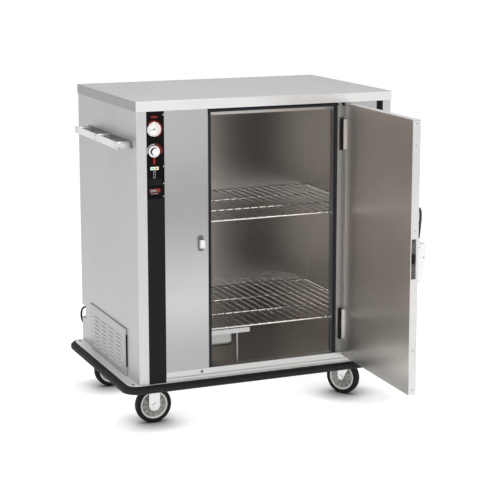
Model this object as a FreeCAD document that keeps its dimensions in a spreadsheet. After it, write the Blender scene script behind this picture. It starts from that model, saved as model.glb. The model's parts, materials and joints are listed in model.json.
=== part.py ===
import FreeCAD, Part
import math
import os
from types import SimpleNamespace
import Sketcher
from FreeCAD import Placement, Rotation, Vector

# Heated food holding cabinet on four casters: an insulated stainless shell, one overlay door that
# stands open, two wire shelves, a control strip, two push bars and a bumper round the deck.
# Millimetres. +Z is up, the front faces -Y, and the floor is z = 0.

DIMENSIONS = {
    # shell
    "plan_centre": 290.9, "body_width": 1122, "body_depth": 777, "deck_top": 195, "body_top": 1302,
    "cap_height": 39, "cap_overhang": 3.5, "sheet_gauge": 1.5, "corner_radius": 5,
    "post_width": 42, "strip_width": 73, "right_post": 37, "trim_width": 29,
    "sill_top": 237, "sill_groove": 211, "panel_bottom": 955,
    # door opening and the frame round it
    "opening_left": -243, "opening_right": 304, "opening_top": 1285,
    "gasket_width": 17, "gasket_depth": 17.5, "jamb_depth": 48, "hinge_seat": 43,
    # cavity
    "cavity_left": -430, "cavity_right": 526, "cavity_back": 350, "cavity_top": 1270,
    "liner_gauge": 1, "insulation_gap": 1,
    # shelves and heater
    "upper_shelf": 834, "lower_shelf": 382, "rod_radius": 4, "wire_radius": 2.5, "wire_pitch": 38,
    "heater_top": 376, "heater_length": 370, "heater_depth": 180, "heater_lip": 20, "ledge": 16,
    # door, measured from the hinge axis with the door closed
    "hinge_across": 340, "hinge_inside": 9.7, "door_open": 88, "door_start": 12, "door_width": 608,
    "door_gap": 10.5, "door_thickness": 33.6, "door_bottom": 221, "door_top": 1297.5,
    "hinge_length": 129, "barrel_radius": 6, "pin_radius": 3, "running_gap": 0.05,
    "upper_hinge": 1104, "lower_hinge": 295,
    # latch
    "slot_bottom": 682, "slot_top": 838, "bolt_bottom": 742, "bolt_height": 35,
    "case_bottom": 668, "case_top": 825, "case_depth": 38, "lever_pivot": 832, "lever_top": 955,
    "keeper_plate": 2.5,
    # base
    "deck_width": 1208, "deck_depth": 792, "deck_rim": 28, "deck_gauge": 3, "deck_corner": 45,
    "bumper_width": 22, "bumper_height": 30,
    # casters
    "wheel_radius": 76.2, "tread_width": 32, "hub_radius": 58, "axle_radius": 5,
    "rigid_across": 467, "rigid_along": 280, "swivel_across": 463, "swivel_along": 262, "trail": 48,
    "pedal_width": 33,
    # push bars
    "bar_out": 62, "bar_thickness": 21, "bar_height": 29, "bar_bottom": 1151, "bar_length": 578,
    "bar_rear": 241, "bar_gauge": 2.5, "standoff_width": 26,
    # vent cover, cord notch
    "vent_front": -236, "vent_rear": 250, "vent_bottom": 199, "vent_top": 395, "vent_depth": 7,
    "notch_front": 338, "notch_bottom": 303, "notch_top": 359, "notch_width": 56,
    # controls
    "gauge_height": 1231, "gauge_radius": 29, "knob_height": 1143, "knob_radius": 14.5,
    "light_height": 1076, "switch_height": 1022, "control_across": -488,
    # cord
    "cord_diameter": 9,
}


class Size:
    """A length that knows its value in millimetres and the sheet formula that gives it."""

    def __init__(self, number, text):
        self.number = float(number)
        self.text = text

    def join(self, other, sign, number):
        return Size(number, f"({self.text} {sign} {other.text})")

    def __add__(self, other):
        other = size(other)
        return self.join(other, "+", self.number + other.number)

    def __sub__(self, other):
        other = size(other)
        return self.join(other, "-", self.number - other.number)

    def __mul__(self, other):
        other = size(other)
        return self.join(other, "*", self.number * other.number)

    def __truediv__(self, other):
        other = size(other)
        return self.join(other, "/", self.number / other.number)

    def __radd__(self, other):
        return size(other) + self

    def __rsub__(self, other):
        return size(other) - self

    def __neg__(self):
        return size(0) - self

    def __float__(self):
        return self.number


def size(value):
    return value if isinstance(value, Size) else Size(value, f"({float(value):g})")


doc = FreeCAD.newDocument("cabinet")
sheet = doc.addObject("Spreadsheet::Sheet", "Sizes")
for row, (alias, number) in enumerate(DIMENSIONS.items(), start=1):
    sheet.set(f"A{row}", alias)
    sheet.set(f"B{row}", str(number))
    sheet.setAlias(f"B{row}", alias)
doc.recompute()
dim = SimpleNamespace(**{alias: Size(number, "Sizes." + alias) for alias, number in DIMENSIONS.items()})

LEFT = -(dim.body_width / 2)
RIGHT = dim.body_width / 2
FRONT = dim.plan_centre - dim.body_depth / 2
BACK = dim.plan_centre + dim.body_depth / 2
HINGE_Y = FRONT + dim.hinge_inside
UPRIGHT = {"z": Rotation(), "y": Rotation(Vector(1, 0, 0), -90), "x": Rotation(Vector(0, 1, 0), 90)}
nodes = []


# ---------------------------------------------------------------- helpers

def bind(target, setting, value):
    target.setExpression(setting, size(value).text)


def keep(piece):
    """Marks a document object as one finished piece of the cabinet."""
    nodes.append(piece)
    return piece


def place(piece, at, turn=None):
    if turn is not None:
        piece.Placement = Placement(Vector(), turn)
    for axis, value in zip("xyz", at):
        bind(piece, "Placement.Base." + axis, value)
    return piece


def span(first, second):
    """The two values with the smaller one first."""
    return (first, second) if float(first) < float(second) else (second, first)


def box(label, x, y, z):
    """A block that runs from the first to the second value along each axis."""
    block = doc.addObject("Part::Box", label)
    for setting, axis, (low, high) in zip(("Length", "Width", "Height"), "xyz", (x, y, z)):
        bind(block, setting, size(high) - low)
        bind(block, "Placement.Base." + axis, low)
    return block


def rod(label, radius, length, at, axis="z"):
    cylinder = doc.addObject("Part::Cylinder", label)
    bind(cylinder, "Radius", radius)
    bind(cylinder, "Height", length)
    return place(cylinder, at, UPRIGHT[axis])


def group(label, pieces):
    """Several separate solids of one kind in one node."""
    bundle = doc.addObject("Part::Compound", label)
    bundle.Links = pieces
    return bundle


def fused(label, pieces):
    union = doc.addObject("Part::MultiFuse", label)
    union.Shapes = pieces
    return union


def cut(label, base, *tools):
    remainder = doc.addObject("Part::Cut", label)
    remainder.Base = base
    remainder.Tool = tools[0] if len(tools) == 1 else group(label + "_tools", list(tools))
    return remainder


def rounded(label, base, radius, wanted):
    """The base with the wanted edges rounded; wanted tests the middle point of an edge."""
    doc.recompute()
    soft = doc.addObject("Part::Fillet", label)
    soft.Base = base
    soft.Edges = [(number, float(radius), float(radius))
                  for number, edge in enumerate(base.Shape.Edges, start=1)
                  if wanted(edge.BoundBox.Center, edge)]
    return soft


def is_along(edge, axis):
    extent = (edge.BoundBox.XLength, edge.BoundBox.YLength, edge.BoundBox.ZLength)
    return extent["xyz".index(axis)] > 0.98 * edge.Length


def new_body(label):
    return doc.addObject("PartDesign::Body", label)


def outline(body, plane, corners):
    """A closed straight-sided sketch on one origin plane, each corner bound to the sheet."""
    sketch = body.newObject("Sketcher::SketchObject", body.Label + "_sketch")
    support = next(item for item in body.Origin.OriginFeatures if item.Role == plane)
    sketch.AttachmentSupport = (support, [""])
    sketch.MapMode = "FlatFace"
    points = [Vector(float(u), float(v), 0) for u, v in corners]
    for start, end in zip(points, points[1:] + points[:1]):
        sketch.addGeometry(Part.LineSegment(start, end), False)
    count = len(corners)
    for side in range(count):
        sketch.addConstraint(Sketcher.Constraint("Coincident", side, 2, (side + 1) % count, 1))
    for side, corner in enumerate(corners):
        for kind, value, crossing in (("DistanceX", corner[0], -2), ("DistanceY", corner[1], -1)):
            if abs(float(value)) < 1e-9:
                sketch.addConstraint(Sketcher.Constraint("PointOnObject", side, 1, crossing))
                continue
            number = sketch.addConstraint(Sketcher.Constraint(kind, -1, 1, side, 1, float(value)))
            if isinstance(value, Size):
                sketch.setExpression(f"Constraints[{number}]", value.text)
    return sketch


def rectangle(width, height):
    half_width = width / 2
    half_height = height / 2
    return [(-half_width, -half_height), (half_width, -half_height),
            (half_width, half_height), (-half_width, half_height)]


def pad(body, plane, corners, length, backward=False):
    feature = body.newObject("PartDesign::Pad", body.Label + "_pad")
    feature.Profile = outline(body, plane, corners)
    bind(feature, "Length", length)
    feature.Reversed = backward
    doc.recompute()
    return feature


def pocket(body, plane, corners, depth, backward=True):
    before = body.Shape.Volume
    feature = body.newObject("PartDesign::Pocket", body.Label + "_pocket")
    feature.Profile = outline(body, plane, corners)
    bind(feature, "Length", depth)
    feature.Reversed = backward
    doc.recompute()
    if body.Shape.Volume > before - 1:
        raise RuntimeError(body.Label + ": the pocket cuts nothing")
    return feature


def round_edges(body, radius, wanted):
    tip = body.Tip
    feature = body.newObject("PartDesign::Fillet", body.Label + "_round")
    names = [f"Edge{number}" for number, edge in enumerate(tip.Shape.Edges, start=1)
             if wanted(edge.BoundBox.Center, edge)]
    feature.Base = (tip, names)
    bind(feature, "Radius", radius)
    doc.recompute()
    return feature


def turned(label, corners):
    """A body of revolution about Z from a half outline in the XZ plane."""
    body = new_body(label)
    feature = body.newObject("PartDesign::Revolution", label + "_turn")
    sketch = outline(body, "XZ_Plane", corners)
    feature.Profile = sketch
    feature.ReferenceAxis = (sketch, ["V_Axis"])
    feature.Angle = 360
    doc.recompute()
    return body


def solid_piece(label, shape):
    """A piece whose shape is worked out directly."""
    piece = doc.addObject("Part::Feature", label)
    piece.Shape = shape
    return piece


def cylinder_between(start, end, radius):
    along = end - start
    return Part.makeCylinder(radius, along.Length, start, along)


# ---------------------------------------------------------------- base, bumper and casters

def slab(label, width, depth, z, corner):
    """A plate centred on the cabinet's plan with rounded corners."""
    half_width = width / 2
    half_depth = depth / 2
    block = box(label + "_block", (-half_width, half_width),
                (dim.plan_centre - half_depth, dim.plan_centre + half_depth), z)
    return rounded(label, block, corner, lambda middle, edge: is_along(edge, "z"))


def base_deck():
    gauge = dim.deck_gauge
    low = dim.deck_top - dim.deck_rim
    outer = slab("deck_outer", dim.deck_width, dim.deck_depth, (low, dim.deck_top), dim.deck_corner)
    inner = slab("deck_inner", dim.deck_width - gauge * 2, dim.deck_depth - gauge * 2,
                 (low - 1, dim.deck_top - gauge), dim.deck_corner - gauge)
    keep(cut("base_deck", outer, inner))


def bumper():
    width = dim.deck_width + dim.bumper_width * 2
    depth = dim.deck_depth + dim.bumper_width * 2
    top = dim.deck_top - 1.5
    low = top - dim.bumper_height
    outer = slab("bumper_outer", width, depth, (low, top), dim.deck_corner + dim.bumper_width)
    shaped = rounded("bumper_top_edge", outer, 9, lambda middle, edge: middle.z > float(top) - 0.01)
    shaped = rounded("bumper_low_edge", shaped, 4, lambda middle, edge: middle.z < float(low) + 0.01)
    inner = slab("bumper_inner", dim.deck_width, dim.deck_depth, (low - 1, top + 1), dim.deck_corner)
    keep(cut("bumper", shaped, inner))


def wheel(label, at, turn):
    """Tyre and hub of one wheel: two solids on an axle that lies along the wheel's own Z."""
    half = dim.tread_width / 2
    edge = 6
    tyre = turned(label + "_tyre", [
        (dim.hub_radius, -(half - 2)), (dim.wheel_radius - edge, -half),
        (dim.wheel_radius - 1.5, -(half - 3)), (dim.wheel_radius, -(half - edge)),
        (dim.wheel_radius, half - edge), (dim.wheel_radius - 1.5, half - 3),
        (dim.wheel_radius - edge, half), (dim.hub_radius, half - 2)])
    bore = dim.axle_radius + dim.running_gap
    hub = turned(label + "_disc", [
        (bore, -half), (17, -half), (17, -5), (dim.hub_radius - 6, -5), (dim.hub_radius - 6, -(half - 1)),
        (dim.hub_radius, -(half - 1)), (dim.hub_radius, half - 1), (dim.hub_radius - 6, half - 1),
        (dim.hub_radius - 6, 5), (17, 5), (17, half), (bore, half)])
    ribs = []
    rib_count = 12
    for number in range(rib_count):
        rib = doc.addObject("Part::Box", f"{label}_rib_{number}")
        bind(rib, "Length", dim.hub_radius - 6 - 15)
        bind(rib, "Width", 3)
        bind(rib, "Height", dim.tread_width - 8)
        spin = Rotation(Vector(0, 0, 1), 360 * number / rib_count)
        corner = spin.multVec(Vector(15, -1.5, -float(half) + 4))
        rib.Placement = Placement(corner, spin)
        ribs.append(rib)
    ribbed = fused(label + "_hub", [hub] + ribs)
    keep(place(group(label, [tyre, ribbed]), at, turn))


def fork_leg(label, side, centre, top, half_width):
    """One flat leg with a round end under the axle, on one side of the wheel."""
    inner = dim.tread_width / 2 + 1.5
    low, high = (inner, inner + 4) if side > 0 else (-(inner + 4), -inner)
    blade = box(label + "_blade", (size(centre) - half_width, size(centre) + half_width), (low, high),
                (dim.wheel_radius, top))
    end = rod(label + "_end", half_width, 4, (centre, low, dim.wheel_radius), "y")
    return [blade, end]


def axle(label, centre):
    """Axle bolt with a hex head and a nut outside the fork legs."""
    reach = dim.tread_width / 2 + 5.5
    shaft = rod(label + "_shaft", dim.axle_radius, reach * 2, (centre, -reach, dim.wheel_radius), "y")
    ends = []
    for name, start in (("head", -(reach + 5)), ("nut", reach)):
        prism = doc.addObject("Part::Prism", f"{label}_{name}")
        prism.Polygon = 6
        bind(prism, "Circumradius", 9)
        bind(prism, "Height", 5)
        ends.append(place(prism, (centre, start, dim.wheel_radius), UPRIGHT["y"]))
    return fused(label, [shaft] + ends)


def rigid_casters():
    forks = []
    plate_top = dim.deck_top - dim.deck_gauge
    for name, side in (("front", -1), ("rear", 1)):
        label = f"rigid_{name}"
        parts = [box(label + "_plate", (-50, 50), (-42, 42), (plate_top - 5, plate_top))]
        for leg in (-1, 1):
            parts += fork_leg(f"{label}_leg_{leg + 1}", leg, 0, plate_top - 5, 24)
        frame = fused(label + "_frame", parts)
        bored = cut(label + "_fork", frame,
                    rod(label + "_bore", dim.axle_radius, 80, (0, -40, dim.wheel_radius), "y"))
        along = dim.plan_centre + dim.rigid_along * side
        forks.append(place(group(label + "_set", [bored, axle(label + "_axle", 0)]),
                           (-dim.rigid_across, along, 0)))
        wheel(f"left_{name}_wheel", (-dim.rigid_across, along, dim.wheel_radius), UPRIGHT["y"])
    keep(group("rigid_forks", forks))


def swivel_fork(name, at, turn):
    """Fork of a swivelling caster: a round crown, two raked legs and the axle bolt."""
    label = f"{name}_swivel_fork"
    crown_top = dim.deck_top - dim.deck_gauge - 10
    inner = dim.tread_width / 2 + 1.5
    parts = [rod(label + "_crown", 33, 5, (0, 0, crown_top - 5)),
             box(label + "_bridge", (-20, 40), (-(inner + 4), inner + 4), (crown_top - 9, crown_top - 5))]
    pivot_x, pivot_z = brake_pivot()
    for side, start in ((-1, -(inner + 4)), (1, inner)):
        leg = new_body(f"{label}_leg_{side + 1}")
        pad(leg, "XZ_Plane", [
            (-24, crown_top - 5), (pivot_x + 5, crown_top - 5), (pivot_x + 8, pivot_z - 6),
            (pivot_x - 8, pivot_z - 10), (dim.trail + 16, dim.wheel_radius + 4),
            (dim.trail + 9, dim.wheel_radius - 12), (dim.trail - 9, dim.wheel_radius - 12),
            (dim.trail - 17, dim.wheel_radius + 6)], 4, backward=True)
        parts.append(place(leg, (0, start, 0)))
    frame = fused(label + "_frame", parts)
    bored = cut(label + "_bored", frame,
                rod(label + "_bore", dim.axle_radius, 80, (dim.trail, -40, dim.wheel_radius), "y"),
                rod(label + "_brake_bore", 3, 80, (pivot_x, -40, pivot_z), "y"),
                rod(label + "_kingpin_hole", 8 + dim.running_gap, 30, (0, 0, crown_top - 20)))
    brake_pin = rod(label + "_brake_pin", 3, (inner + 6) * 2, (pivot_x, -(inner + 6), pivot_z), "y")
    keep(place(group(label, [bored, axle(label + "_axle", dim.trail), brake_pin]), at, turn))


def brake_pedal(name, at, turn):
    """Foot pedal of the wheel brake, hinged on a pin between the fork's two ears."""
    label = f"{name}_brake_pedal"
    body = new_body(label + "_blade")
    x, z = brake_pivot()
    pad(body, "XZ_Plane", [
        (x - 5, z - 4), (x + 10, z - 4), (x + 34, z - 14), (x + 56, z - 18), (x + 58, z - 14),
        (x + 36, z - 9), (x + 12, z + 4), (x - 5, z + 4)], dim.pedal_width, backward=True)
    place(body, (0, -(dim.pedal_width / 2), 0))
    bored = cut(label, body, rod(label + "_bore", 3 + dim.running_gap, 80, (x, -40, z), "y"))
    keep(place(bored, at, turn))


def brake_pivot():
    return dim.trail + 20, dim.deck_top - dim.deck_gauge - 28


def swivel_casters():
    plates = []
    plate_top = dim.deck_top - dim.deck_gauge
    directions = {"front": (-1, 124), "rear": (1, 150)}
    for name, (side, heading) in directions.items():
        at = (dim.swivel_across, dim.plan_centre + dim.swivel_along * side, 0)
        turn = Rotation(Vector(0, 0, 1), heading)
        label = f"swivel_{name}"
        plate = box(label + "_top", (-50, 50), (-45, 45), (plate_top - 5, plate_top))
        race = rod(label + "_race", 30, 4.7, (0, 0, plate_top - 9.7))
        kingpin = rod(label + "_kingpin", 8, 22, (0, 0, plate_top - 27))
        washer = rod(label + "_washer", 12, 4, (0, 0, plate_top - 26))
        plates.append(place(fused(label + "_plate", [plate, race, kingpin, washer]), at))
        swivel_fork(name, at, turn)
        offset = turn.multVec(Vector(float(dim.trail), 0, 0))
        centre = (at[0] + round(offset.x, 4), at[1] + round(offset.y, 4), dim.wheel_radius)
        wheel(f"right_{name}_wheel", centre, turn.multiply(UPRIGHT["y"]))
        brake_pedal(name, at, turn)
    keep(group("swivel_plates", plates))


# ---------------------------------------------------------------- shell

def cap():
    body = new_body("cap")
    width = dim.body_width + dim.cap_overhang * 2
    depth = dim.body_depth + dim.cap_overhang * 2
    pad(body, "XY_Plane", rectangle(width, depth), dim.cap_height)
    round_edges(body, dim.corner_radius, lambda middle, edge: is_along(edge, "z"))
    round_edges(body, 2.5, lambda middle, edge: middle.z > float(dim.cap_height) - 0.01)
    inner = rectangle(width - dim.sheet_gauge * 2, depth - dim.sheet_gauge * 2)
    pocket(body, "XY_Plane", inner, dim.cap_height - dim.sheet_gauge)
    keep(place(body, (0, dim.plan_centre, dim.body_top)))


def folded_side(label, side, post):
    """Side sheet that folds round the front corner into a narrow post."""
    outer = RIGHT if side > 0 else LEFT
    inner = outer - dim.sheet_gauge * side
    post_edge = outer - post * side
    sheet_wall = box(label + "_sheet", span(inner, outer), (FRONT, BACK), (dim.deck_top, dim.body_top))
    post_face = box(label + "_post", span(post_edge, outer), (FRONT, FRONT + dim.sheet_gauge),
                    (dim.deck_top, dim.body_top))
    folded = fused(label + "_folded", [sheet_wall, post_face])
    corner = (float(outer), float(FRONT))
    return rounded(label + "_blank" if side < 0 else label, folded, dim.corner_radius - 3.6,
                   lambda middle, edge: is_along(edge, "z")
                   and abs(middle.x - corner[0]) < 0.01 and abs(middle.y - corner[1]) < 0.01)


def side_panels():
    left = folded_side("left_side_panel", -1, dim.post_width)
    margin = 18
    notch = box("cord_notch", (LEFT - 5, LEFT + 5), (dim.plan_centre + dim.notch_front, BACK + 5),
                (dim.notch_bottom, dim.notch_top))
    vent = box("vent_opening", (LEFT - 5, LEFT + 5),
               (dim.plan_centre + dim.vent_front + margin, dim.plan_centre + dim.vent_rear - margin),
               (dim.vent_bottom + margin, dim.vent_top - margin))
    keep(cut("left_side_panel", left, notch, vent))
    keep(folded_side("right_side_panel", 1, dim.right_post))


def back_panel():
    """Back sheet with a small folded recess in its left corner, which the cord comes out of."""
    gauge = dim.sheet_gauge
    plate = box("back_plate", (LEFT + gauge, RIGHT - gauge), (BACK - gauge, BACK),
                (dim.deck_top, dim.body_top))
    recess = box("recess_block", (LEFT + gauge, LEFT + dim.notch_width + gauge),
                 (dim.plan_centre + dim.notch_front - gauge, BACK - gauge),
                 (dim.notch_bottom - gauge, dim.notch_top + gauge))
    hollow = box("recess_hollow", (LEFT - 1, LEFT + dim.notch_width),
                 (dim.plan_centre + dim.notch_front, BACK + 1), (dim.notch_bottom, dim.notch_top))
    keep(cut("back_panel", fused("back_blank", [plate, recess]), hollow))


def front_panels():
    top = dim.body_top
    gauge = dim.sheet_gauge
    strip_left = LEFT + dim.post_width
    strip_right = strip_left + dim.strip_width
    frame_left = dim.opening_left - dim.gasket_width
    panel = box("left_front_sheet", (strip_right, frame_left - 1.5), (FRONT, FRONT + gauge),
                (dim.sill_top, top))
    keep(rounded("left_front_panel", panel, 0.7, lambda middle, edge: is_along(edge, "z")))
    trim_left = RIGHT - dim.right_post - dim.trim_width
    seat_right = dim.opening_right + dim.hinge_seat
    panel = box("right_front_sheet", (seat_right + 1.5, trim_left), (FRONT, FRONT + gauge),
                (dim.sill_top, top))
    keep(rounded("right_front_panel", panel, 0.7, lambda middle, edge: is_along(edge, "z")))
    ridge = box("trim_ridge", (trim_left + 13, trim_left + 16), (FRONT - 2, FRONT), (dim.deck_top, top))
    band = box("trim_band", (trim_left, RIGHT - dim.right_post), (FRONT, FRONT + gauge), (dim.deck_top, top))
    keep(fused("right_trim_strip", [band, ridge]))


def sill_rail():
    strip_right = LEFT + dim.post_width + dim.strip_width
    trim_left = RIGHT - dim.right_post - dim.trim_width
    rail = box("sill_block", (strip_right, trim_left), (FRONT, FRONT + dim.jamb_depth),
               (dim.deck_top, dim.sill_top))
    groove = box("sill_groove_cut", (strip_right - 1, trim_left + 1), (FRONT - 1, FRONT + 2),
                 (dim.sill_groove - 1.2, dim.sill_groove + 1.2))
    keep(cut("sill_rail", rail, groove))


def jamb(label, inward, seat_inner, seat_outer):
    """Z-shaped upright of the door frame: side of the recess, seat, and return into the cavity."""
    gauge = dim.sheet_gauge * inward
    seat = dim.gasket_depth
    body = new_body(label)
    corners = [(seat_outer, 0), (seat_outer, seat), (seat_inner, seat), (seat_inner, dim.jamb_depth),
               (seat_inner - gauge, dim.jamb_depth), (seat_inner - gauge, seat + dim.sheet_gauge),
               (seat_outer - gauge, seat + dim.sheet_gauge), (seat_outer - gauge, 0)]
    pad(body, "XY_Plane", corners, dim.opening_top - dim.sill_top)
    return place(body, (0, FRONT, dim.sill_top))


def door_frame():
    left_outer = dim.opening_left - dim.gasket_width
    right_outer = dim.opening_right + dim.hinge_seat
    left = jamb("left_jamb", 1, dim.opening_left, left_outer)
    right = jamb("right_jamb", -1, dim.opening_right, right_outer)
    header = new_body("frame_header")
    seat = dim.gasket_depth
    gauge = dim.sheet_gauge
    corners = [(seat, dim.opening_top), (dim.jamb_depth, dim.opening_top),
               (dim.jamb_depth, dim.opening_top + gauge), (seat + gauge, dim.opening_top + gauge),
               (seat + gauge, dim.body_top), (seat, dim.body_top)]
    pad(header, "YZ_Plane", corners, right_outer - left_outer)
    place(header, (left_outer, FRONT, 0))
    keep(group("door_frame", [left, right, header]))


def gasket_strip(label, plane, length, at):
    """Rubber seal: a flat foot with a narrower bulb along its length."""
    body = new_body(label)
    deep = dim.gasket_depth
    corners = [(1, 0), (dim.gasket_width - 2, 0), (dim.gasket_width - 2, 6), (dim.gasket_width - 5, 8),
               (dim.gasket_width - 5, deep - 2), (dim.gasket_width - 8, deep), (5, deep), (3, deep - 2),
               (3, 8), (1, 6)]
    if plane == "XY_Plane":
        corners = [(u, -v) for u, v in corners]
    else:
        corners = [(-v, u) for u, v in corners]
    pad(body, plane, corners, length)
    return place(body, at)


def door_gasket():
    seat_y = FRONT + dim.gasket_depth
    tall = dim.opening_top - dim.sill_top
    left = gasket_strip("left_gasket", "XY_Plane", tall,
                        (dim.opening_left - dim.gasket_width + 1, seat_y, dim.sill_top))
    right = gasket_strip("right_gasket", "XY_Plane", tall, (dim.opening_right, seat_y, dim.sill_top))
    across = dim.opening_right - dim.opening_left + dim.gasket_width * 2 - 2
    top = gasket_strip("top_gasket", "YZ_Plane", across,
                       (dim.opening_left - dim.gasket_width + 1, seat_y, dim.opening_top))
    keep(group("door_gasket", [left, right, top]))


def liner():
    thin = dim.liner_gauge
    inside_front = FRONT + dim.jamb_depth
    back = dim.plan_centre + dim.cavity_back
    floor = dim.sill_top
    y = (inside_front, back)
    tall = (floor, dim.cavity_top)
    left_wall = box("liner_left", (dim.cavity_left - thin, dim.cavity_left), y, tall)
    right_wall = box("liner_right", (dim.cavity_right, dim.cavity_right + thin), y, tall)
    wide = (dim.cavity_left - thin, dim.cavity_right + thin)
    keep(box("liner_back", wide, (back, back + thin), tall))
    ceiling = box("ceiling_sheet", wide, (inside_front, back + thin), (dim.cavity_top, dim.cavity_top + thin))
    lip = box("ceiling_lip", (dim.opening_left, dim.opening_right), (inside_front - thin, inside_front),
              (dim.cavity_top, dim.opening_top))
    keep(fused("liner_ceiling", [ceiling, lip]))
    keep(box("liner_floor", wide, (inside_front, back + thin), (floor - thin, floor)))
    front_y = (inside_front - thin, inside_front)
    left_front = box("liner_front_left", (dim.cavity_left - thin, dim.opening_left - dim.sheet_gauge),
                     front_y, (floor, dim.cavity_top))
    right_front = box("liner_front_right", (dim.opening_right + dim.sheet_gauge, dim.cavity_right + thin),
                      front_y, (floor, dim.cavity_top))
    keep(group("liner_walls", [left_wall, right_wall, left_front, right_front]))


def insulation():
    gap = dim.insulation_gap
    thin = dim.liner_gauge
    inside_front = FRONT + dim.jamb_depth
    back = dim.plan_centre + dim.cavity_back
    tall = (dim.sill_top, dim.cavity_top)
    slab_thickness = 28
    wide = (dim.cavity_left - thin, dim.cavity_right + thin)
    slabs = [
        box("slab_left", (dim.cavity_left - slab_thickness, dim.cavity_left - thin - gap),
            (inside_front, back), tall),
        box("slab_right", (dim.cavity_right + thin + gap, RIGHT - dim.sheet_gauge - gap),
            (inside_front, back), tall),
        box("slab_back", wide, (back + thin + gap, BACK - dim.sheet_gauge - gap), tall),
        box("slab_top", wide, (inside_front, back), (dim.cavity_top + thin + gap, dim.body_top - gap)),
        box("slab_floor", wide, (inside_front + gap, back), (dim.deck_top + gap, dim.sill_top - thin - gap)),
        box("slab_front_left", (dim.cavity_left, dim.opening_left - dim.gasket_width - 3),
            (FRONT + 4, inside_front - thin - gap), (dim.sill_top + gap, dim.cavity_top)),
        box("slab_front_right", (dim.opening_right + dim.hinge_seat + 3, dim.cavity_right),
            (FRONT + 4, inside_front - thin - gap), (dim.sill_top + gap, dim.cavity_top)),
    ]
    keep(group("insulation", slabs))


# ---------------------------------------------------------------- shelves and heater

def wire_shelf(label, height):
    """Plated wire shelf: a rod frame with wires laid across it from front to back."""
    rod_radius = float(dim.rod_radius)
    wire = float(dim.wire_radius)
    left = float(dim.cavity_left) + 3 + rod_radius
    right = float(dim.cavity_right) - 3 - rod_radius
    front = float(FRONT + dim.jamb_depth) + 3 + rod_radius
    back = float(dim.plan_centre + dim.cavity_back) - 3 - rod_radius
    solids = []
    for share in (0, 0.33, 0.67, 1):
        y = front + (back - front) * share
        solids.append(cylinder_between(Vector(left - 2, y, height), Vector(right + 2, y, height), rod_radius))
    for x in (left + 1, right - 1):
        solids.append(cylinder_between(Vector(x, front, height), Vector(x, back, height), rod_radius - 0.6))
    lift = height + rod_radius + wire - 1
    count = int((right - left) // float(dim.wire_pitch))
    first = left + (right - left - (count - 1) * float(dim.wire_pitch)) / 2
    for number in range(count):
        x = first + number * float(dim.wire_pitch)
        solids.append(cylinder_between(Vector(x, front - 2, lift), Vector(x, back + 2, lift), wire))
    keep(solid_piece(label, solids[0].multiFuse(solids[1:]).removeSplitter()))


def shelf_supports():
    """Angle ledges on the side walls that the shelves rest on."""
    ledge = dim.ledge
    gauge = dim.sheet_gauge
    y = (FRONT + dim.jamb_depth + 20, dim.plan_centre + dim.cavity_back - 20)
    angles = []
    for name, height in (("upper", dim.upper_shelf), ("lower", dim.lower_shelf)):
        top = height - dim.rod_radius
        for side, wall in (("left", dim.cavity_left), ("right", dim.cavity_right)):
            inward = 1 if side == "left" else -1
            reach = wall + ledge * inward
            foot = wall + gauge * inward
            label = f"{name}_{side}_ledge"
            angles.append(fused(label, [box(label + "_top", span(wall, reach), y, (top - gauge, top)),
                                        box(label + "_wall", span(wall, foot), y,
                                            (top - ledge, top - gauge))]))
    keep(group("shelf_supports", angles))


def soft_pan(label, x, y, z, radius):
    """A block whose bottom edges and right-hand upright edges are rounded like a pressed pan's."""
    block = box(label + "_block", x, y, z)
    bottom = float(z[0]) + 0.01
    right = float(x[1]) - 0.01
    left = float(x[0]) + 0.01
    return rounded(label, block, radius, lambda middle, edge: middle.x > left
                   and (middle.z < bottom or (is_along(edge, "z") and middle.x > right)))


def heater():
    gauge = dim.sheet_gauge
    left = dim.cavity_left + 2
    right = left + dim.heater_length
    front = FRONT + dim.jamb_depth + 2
    back = front + dim.heater_depth
    top = dim.heater_top
    low = top - dim.heater_lip
    plate = box("heater_plate", (left + 18, right), (front, back), (top - gauge, top))
    lip = box("heater_lip_front", (left + 18, right), (front, front + gauge), (low, top))
    end = box("heater_lip_end", (right - gauge, right), (front, back), (low, top))
    leg = box("heater_leg", (right - 58, right - 54), (front + 2, front + 14), (dim.sill_top, top - gauge))
    keep(fused("heater_cover", [plate, lip, end, leg]))
    shroud_left = dim.cavity_left + dim.ledge + 2
    shroud_right = right - 60
    shroud_y = (front + 14, back - 10)
    shroud_low = 298
    shroud_corner = size(26)
    shroud = soft_pan("shroud_outer", (shroud_left, shroud_right), shroud_y, (shroud_low, top - gauge),
                      shroud_corner)
    hollow = soft_pan("shroud_hollow", (shroud_left + gauge, shroud_right - gauge),
                      (shroud_y[0] + gauge, shroud_y[1] - gauge), (shroud_low + gauge, top + 5),
                      shroud_corner - dim.sheet_gauge)
    keep(cut("heater_shroud", shroud, hollow))
    tube = 4
    y_near = front + 50
    y_far = back - 50
    x_start = shroud_left + gauge
    x_end = shroud_right - 70
    level = 334
    straight = float(x_end - x_start)
    bend_radius = float(y_far - y_near) / 2
    near = Vector(float(x_start), float(y_near), level)
    far = Vector(float(x_start), float(y_far), level)
    bend = Part.makeTorus(bend_radius, tube, Vector(float(x_end), float(y_near + y_far) / 2, level),
                          Vector(0, 0, 1), 0, 360, 180)
    bend.rotate(Vector(float(x_end), float(y_near + y_far) / 2, level), Vector(0, 0, 1), -90)
    element = bend.fuse([Part.makeCylinder(tube, straight, near, Vector(1, 0, 0)),
                         Part.makeCylinder(tube, straight, far, Vector(1, 0, 0))]).removeSplitter()
    keep(solid_piece("heating_element", element))


# ---------------------------------------------------------------- controls

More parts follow.
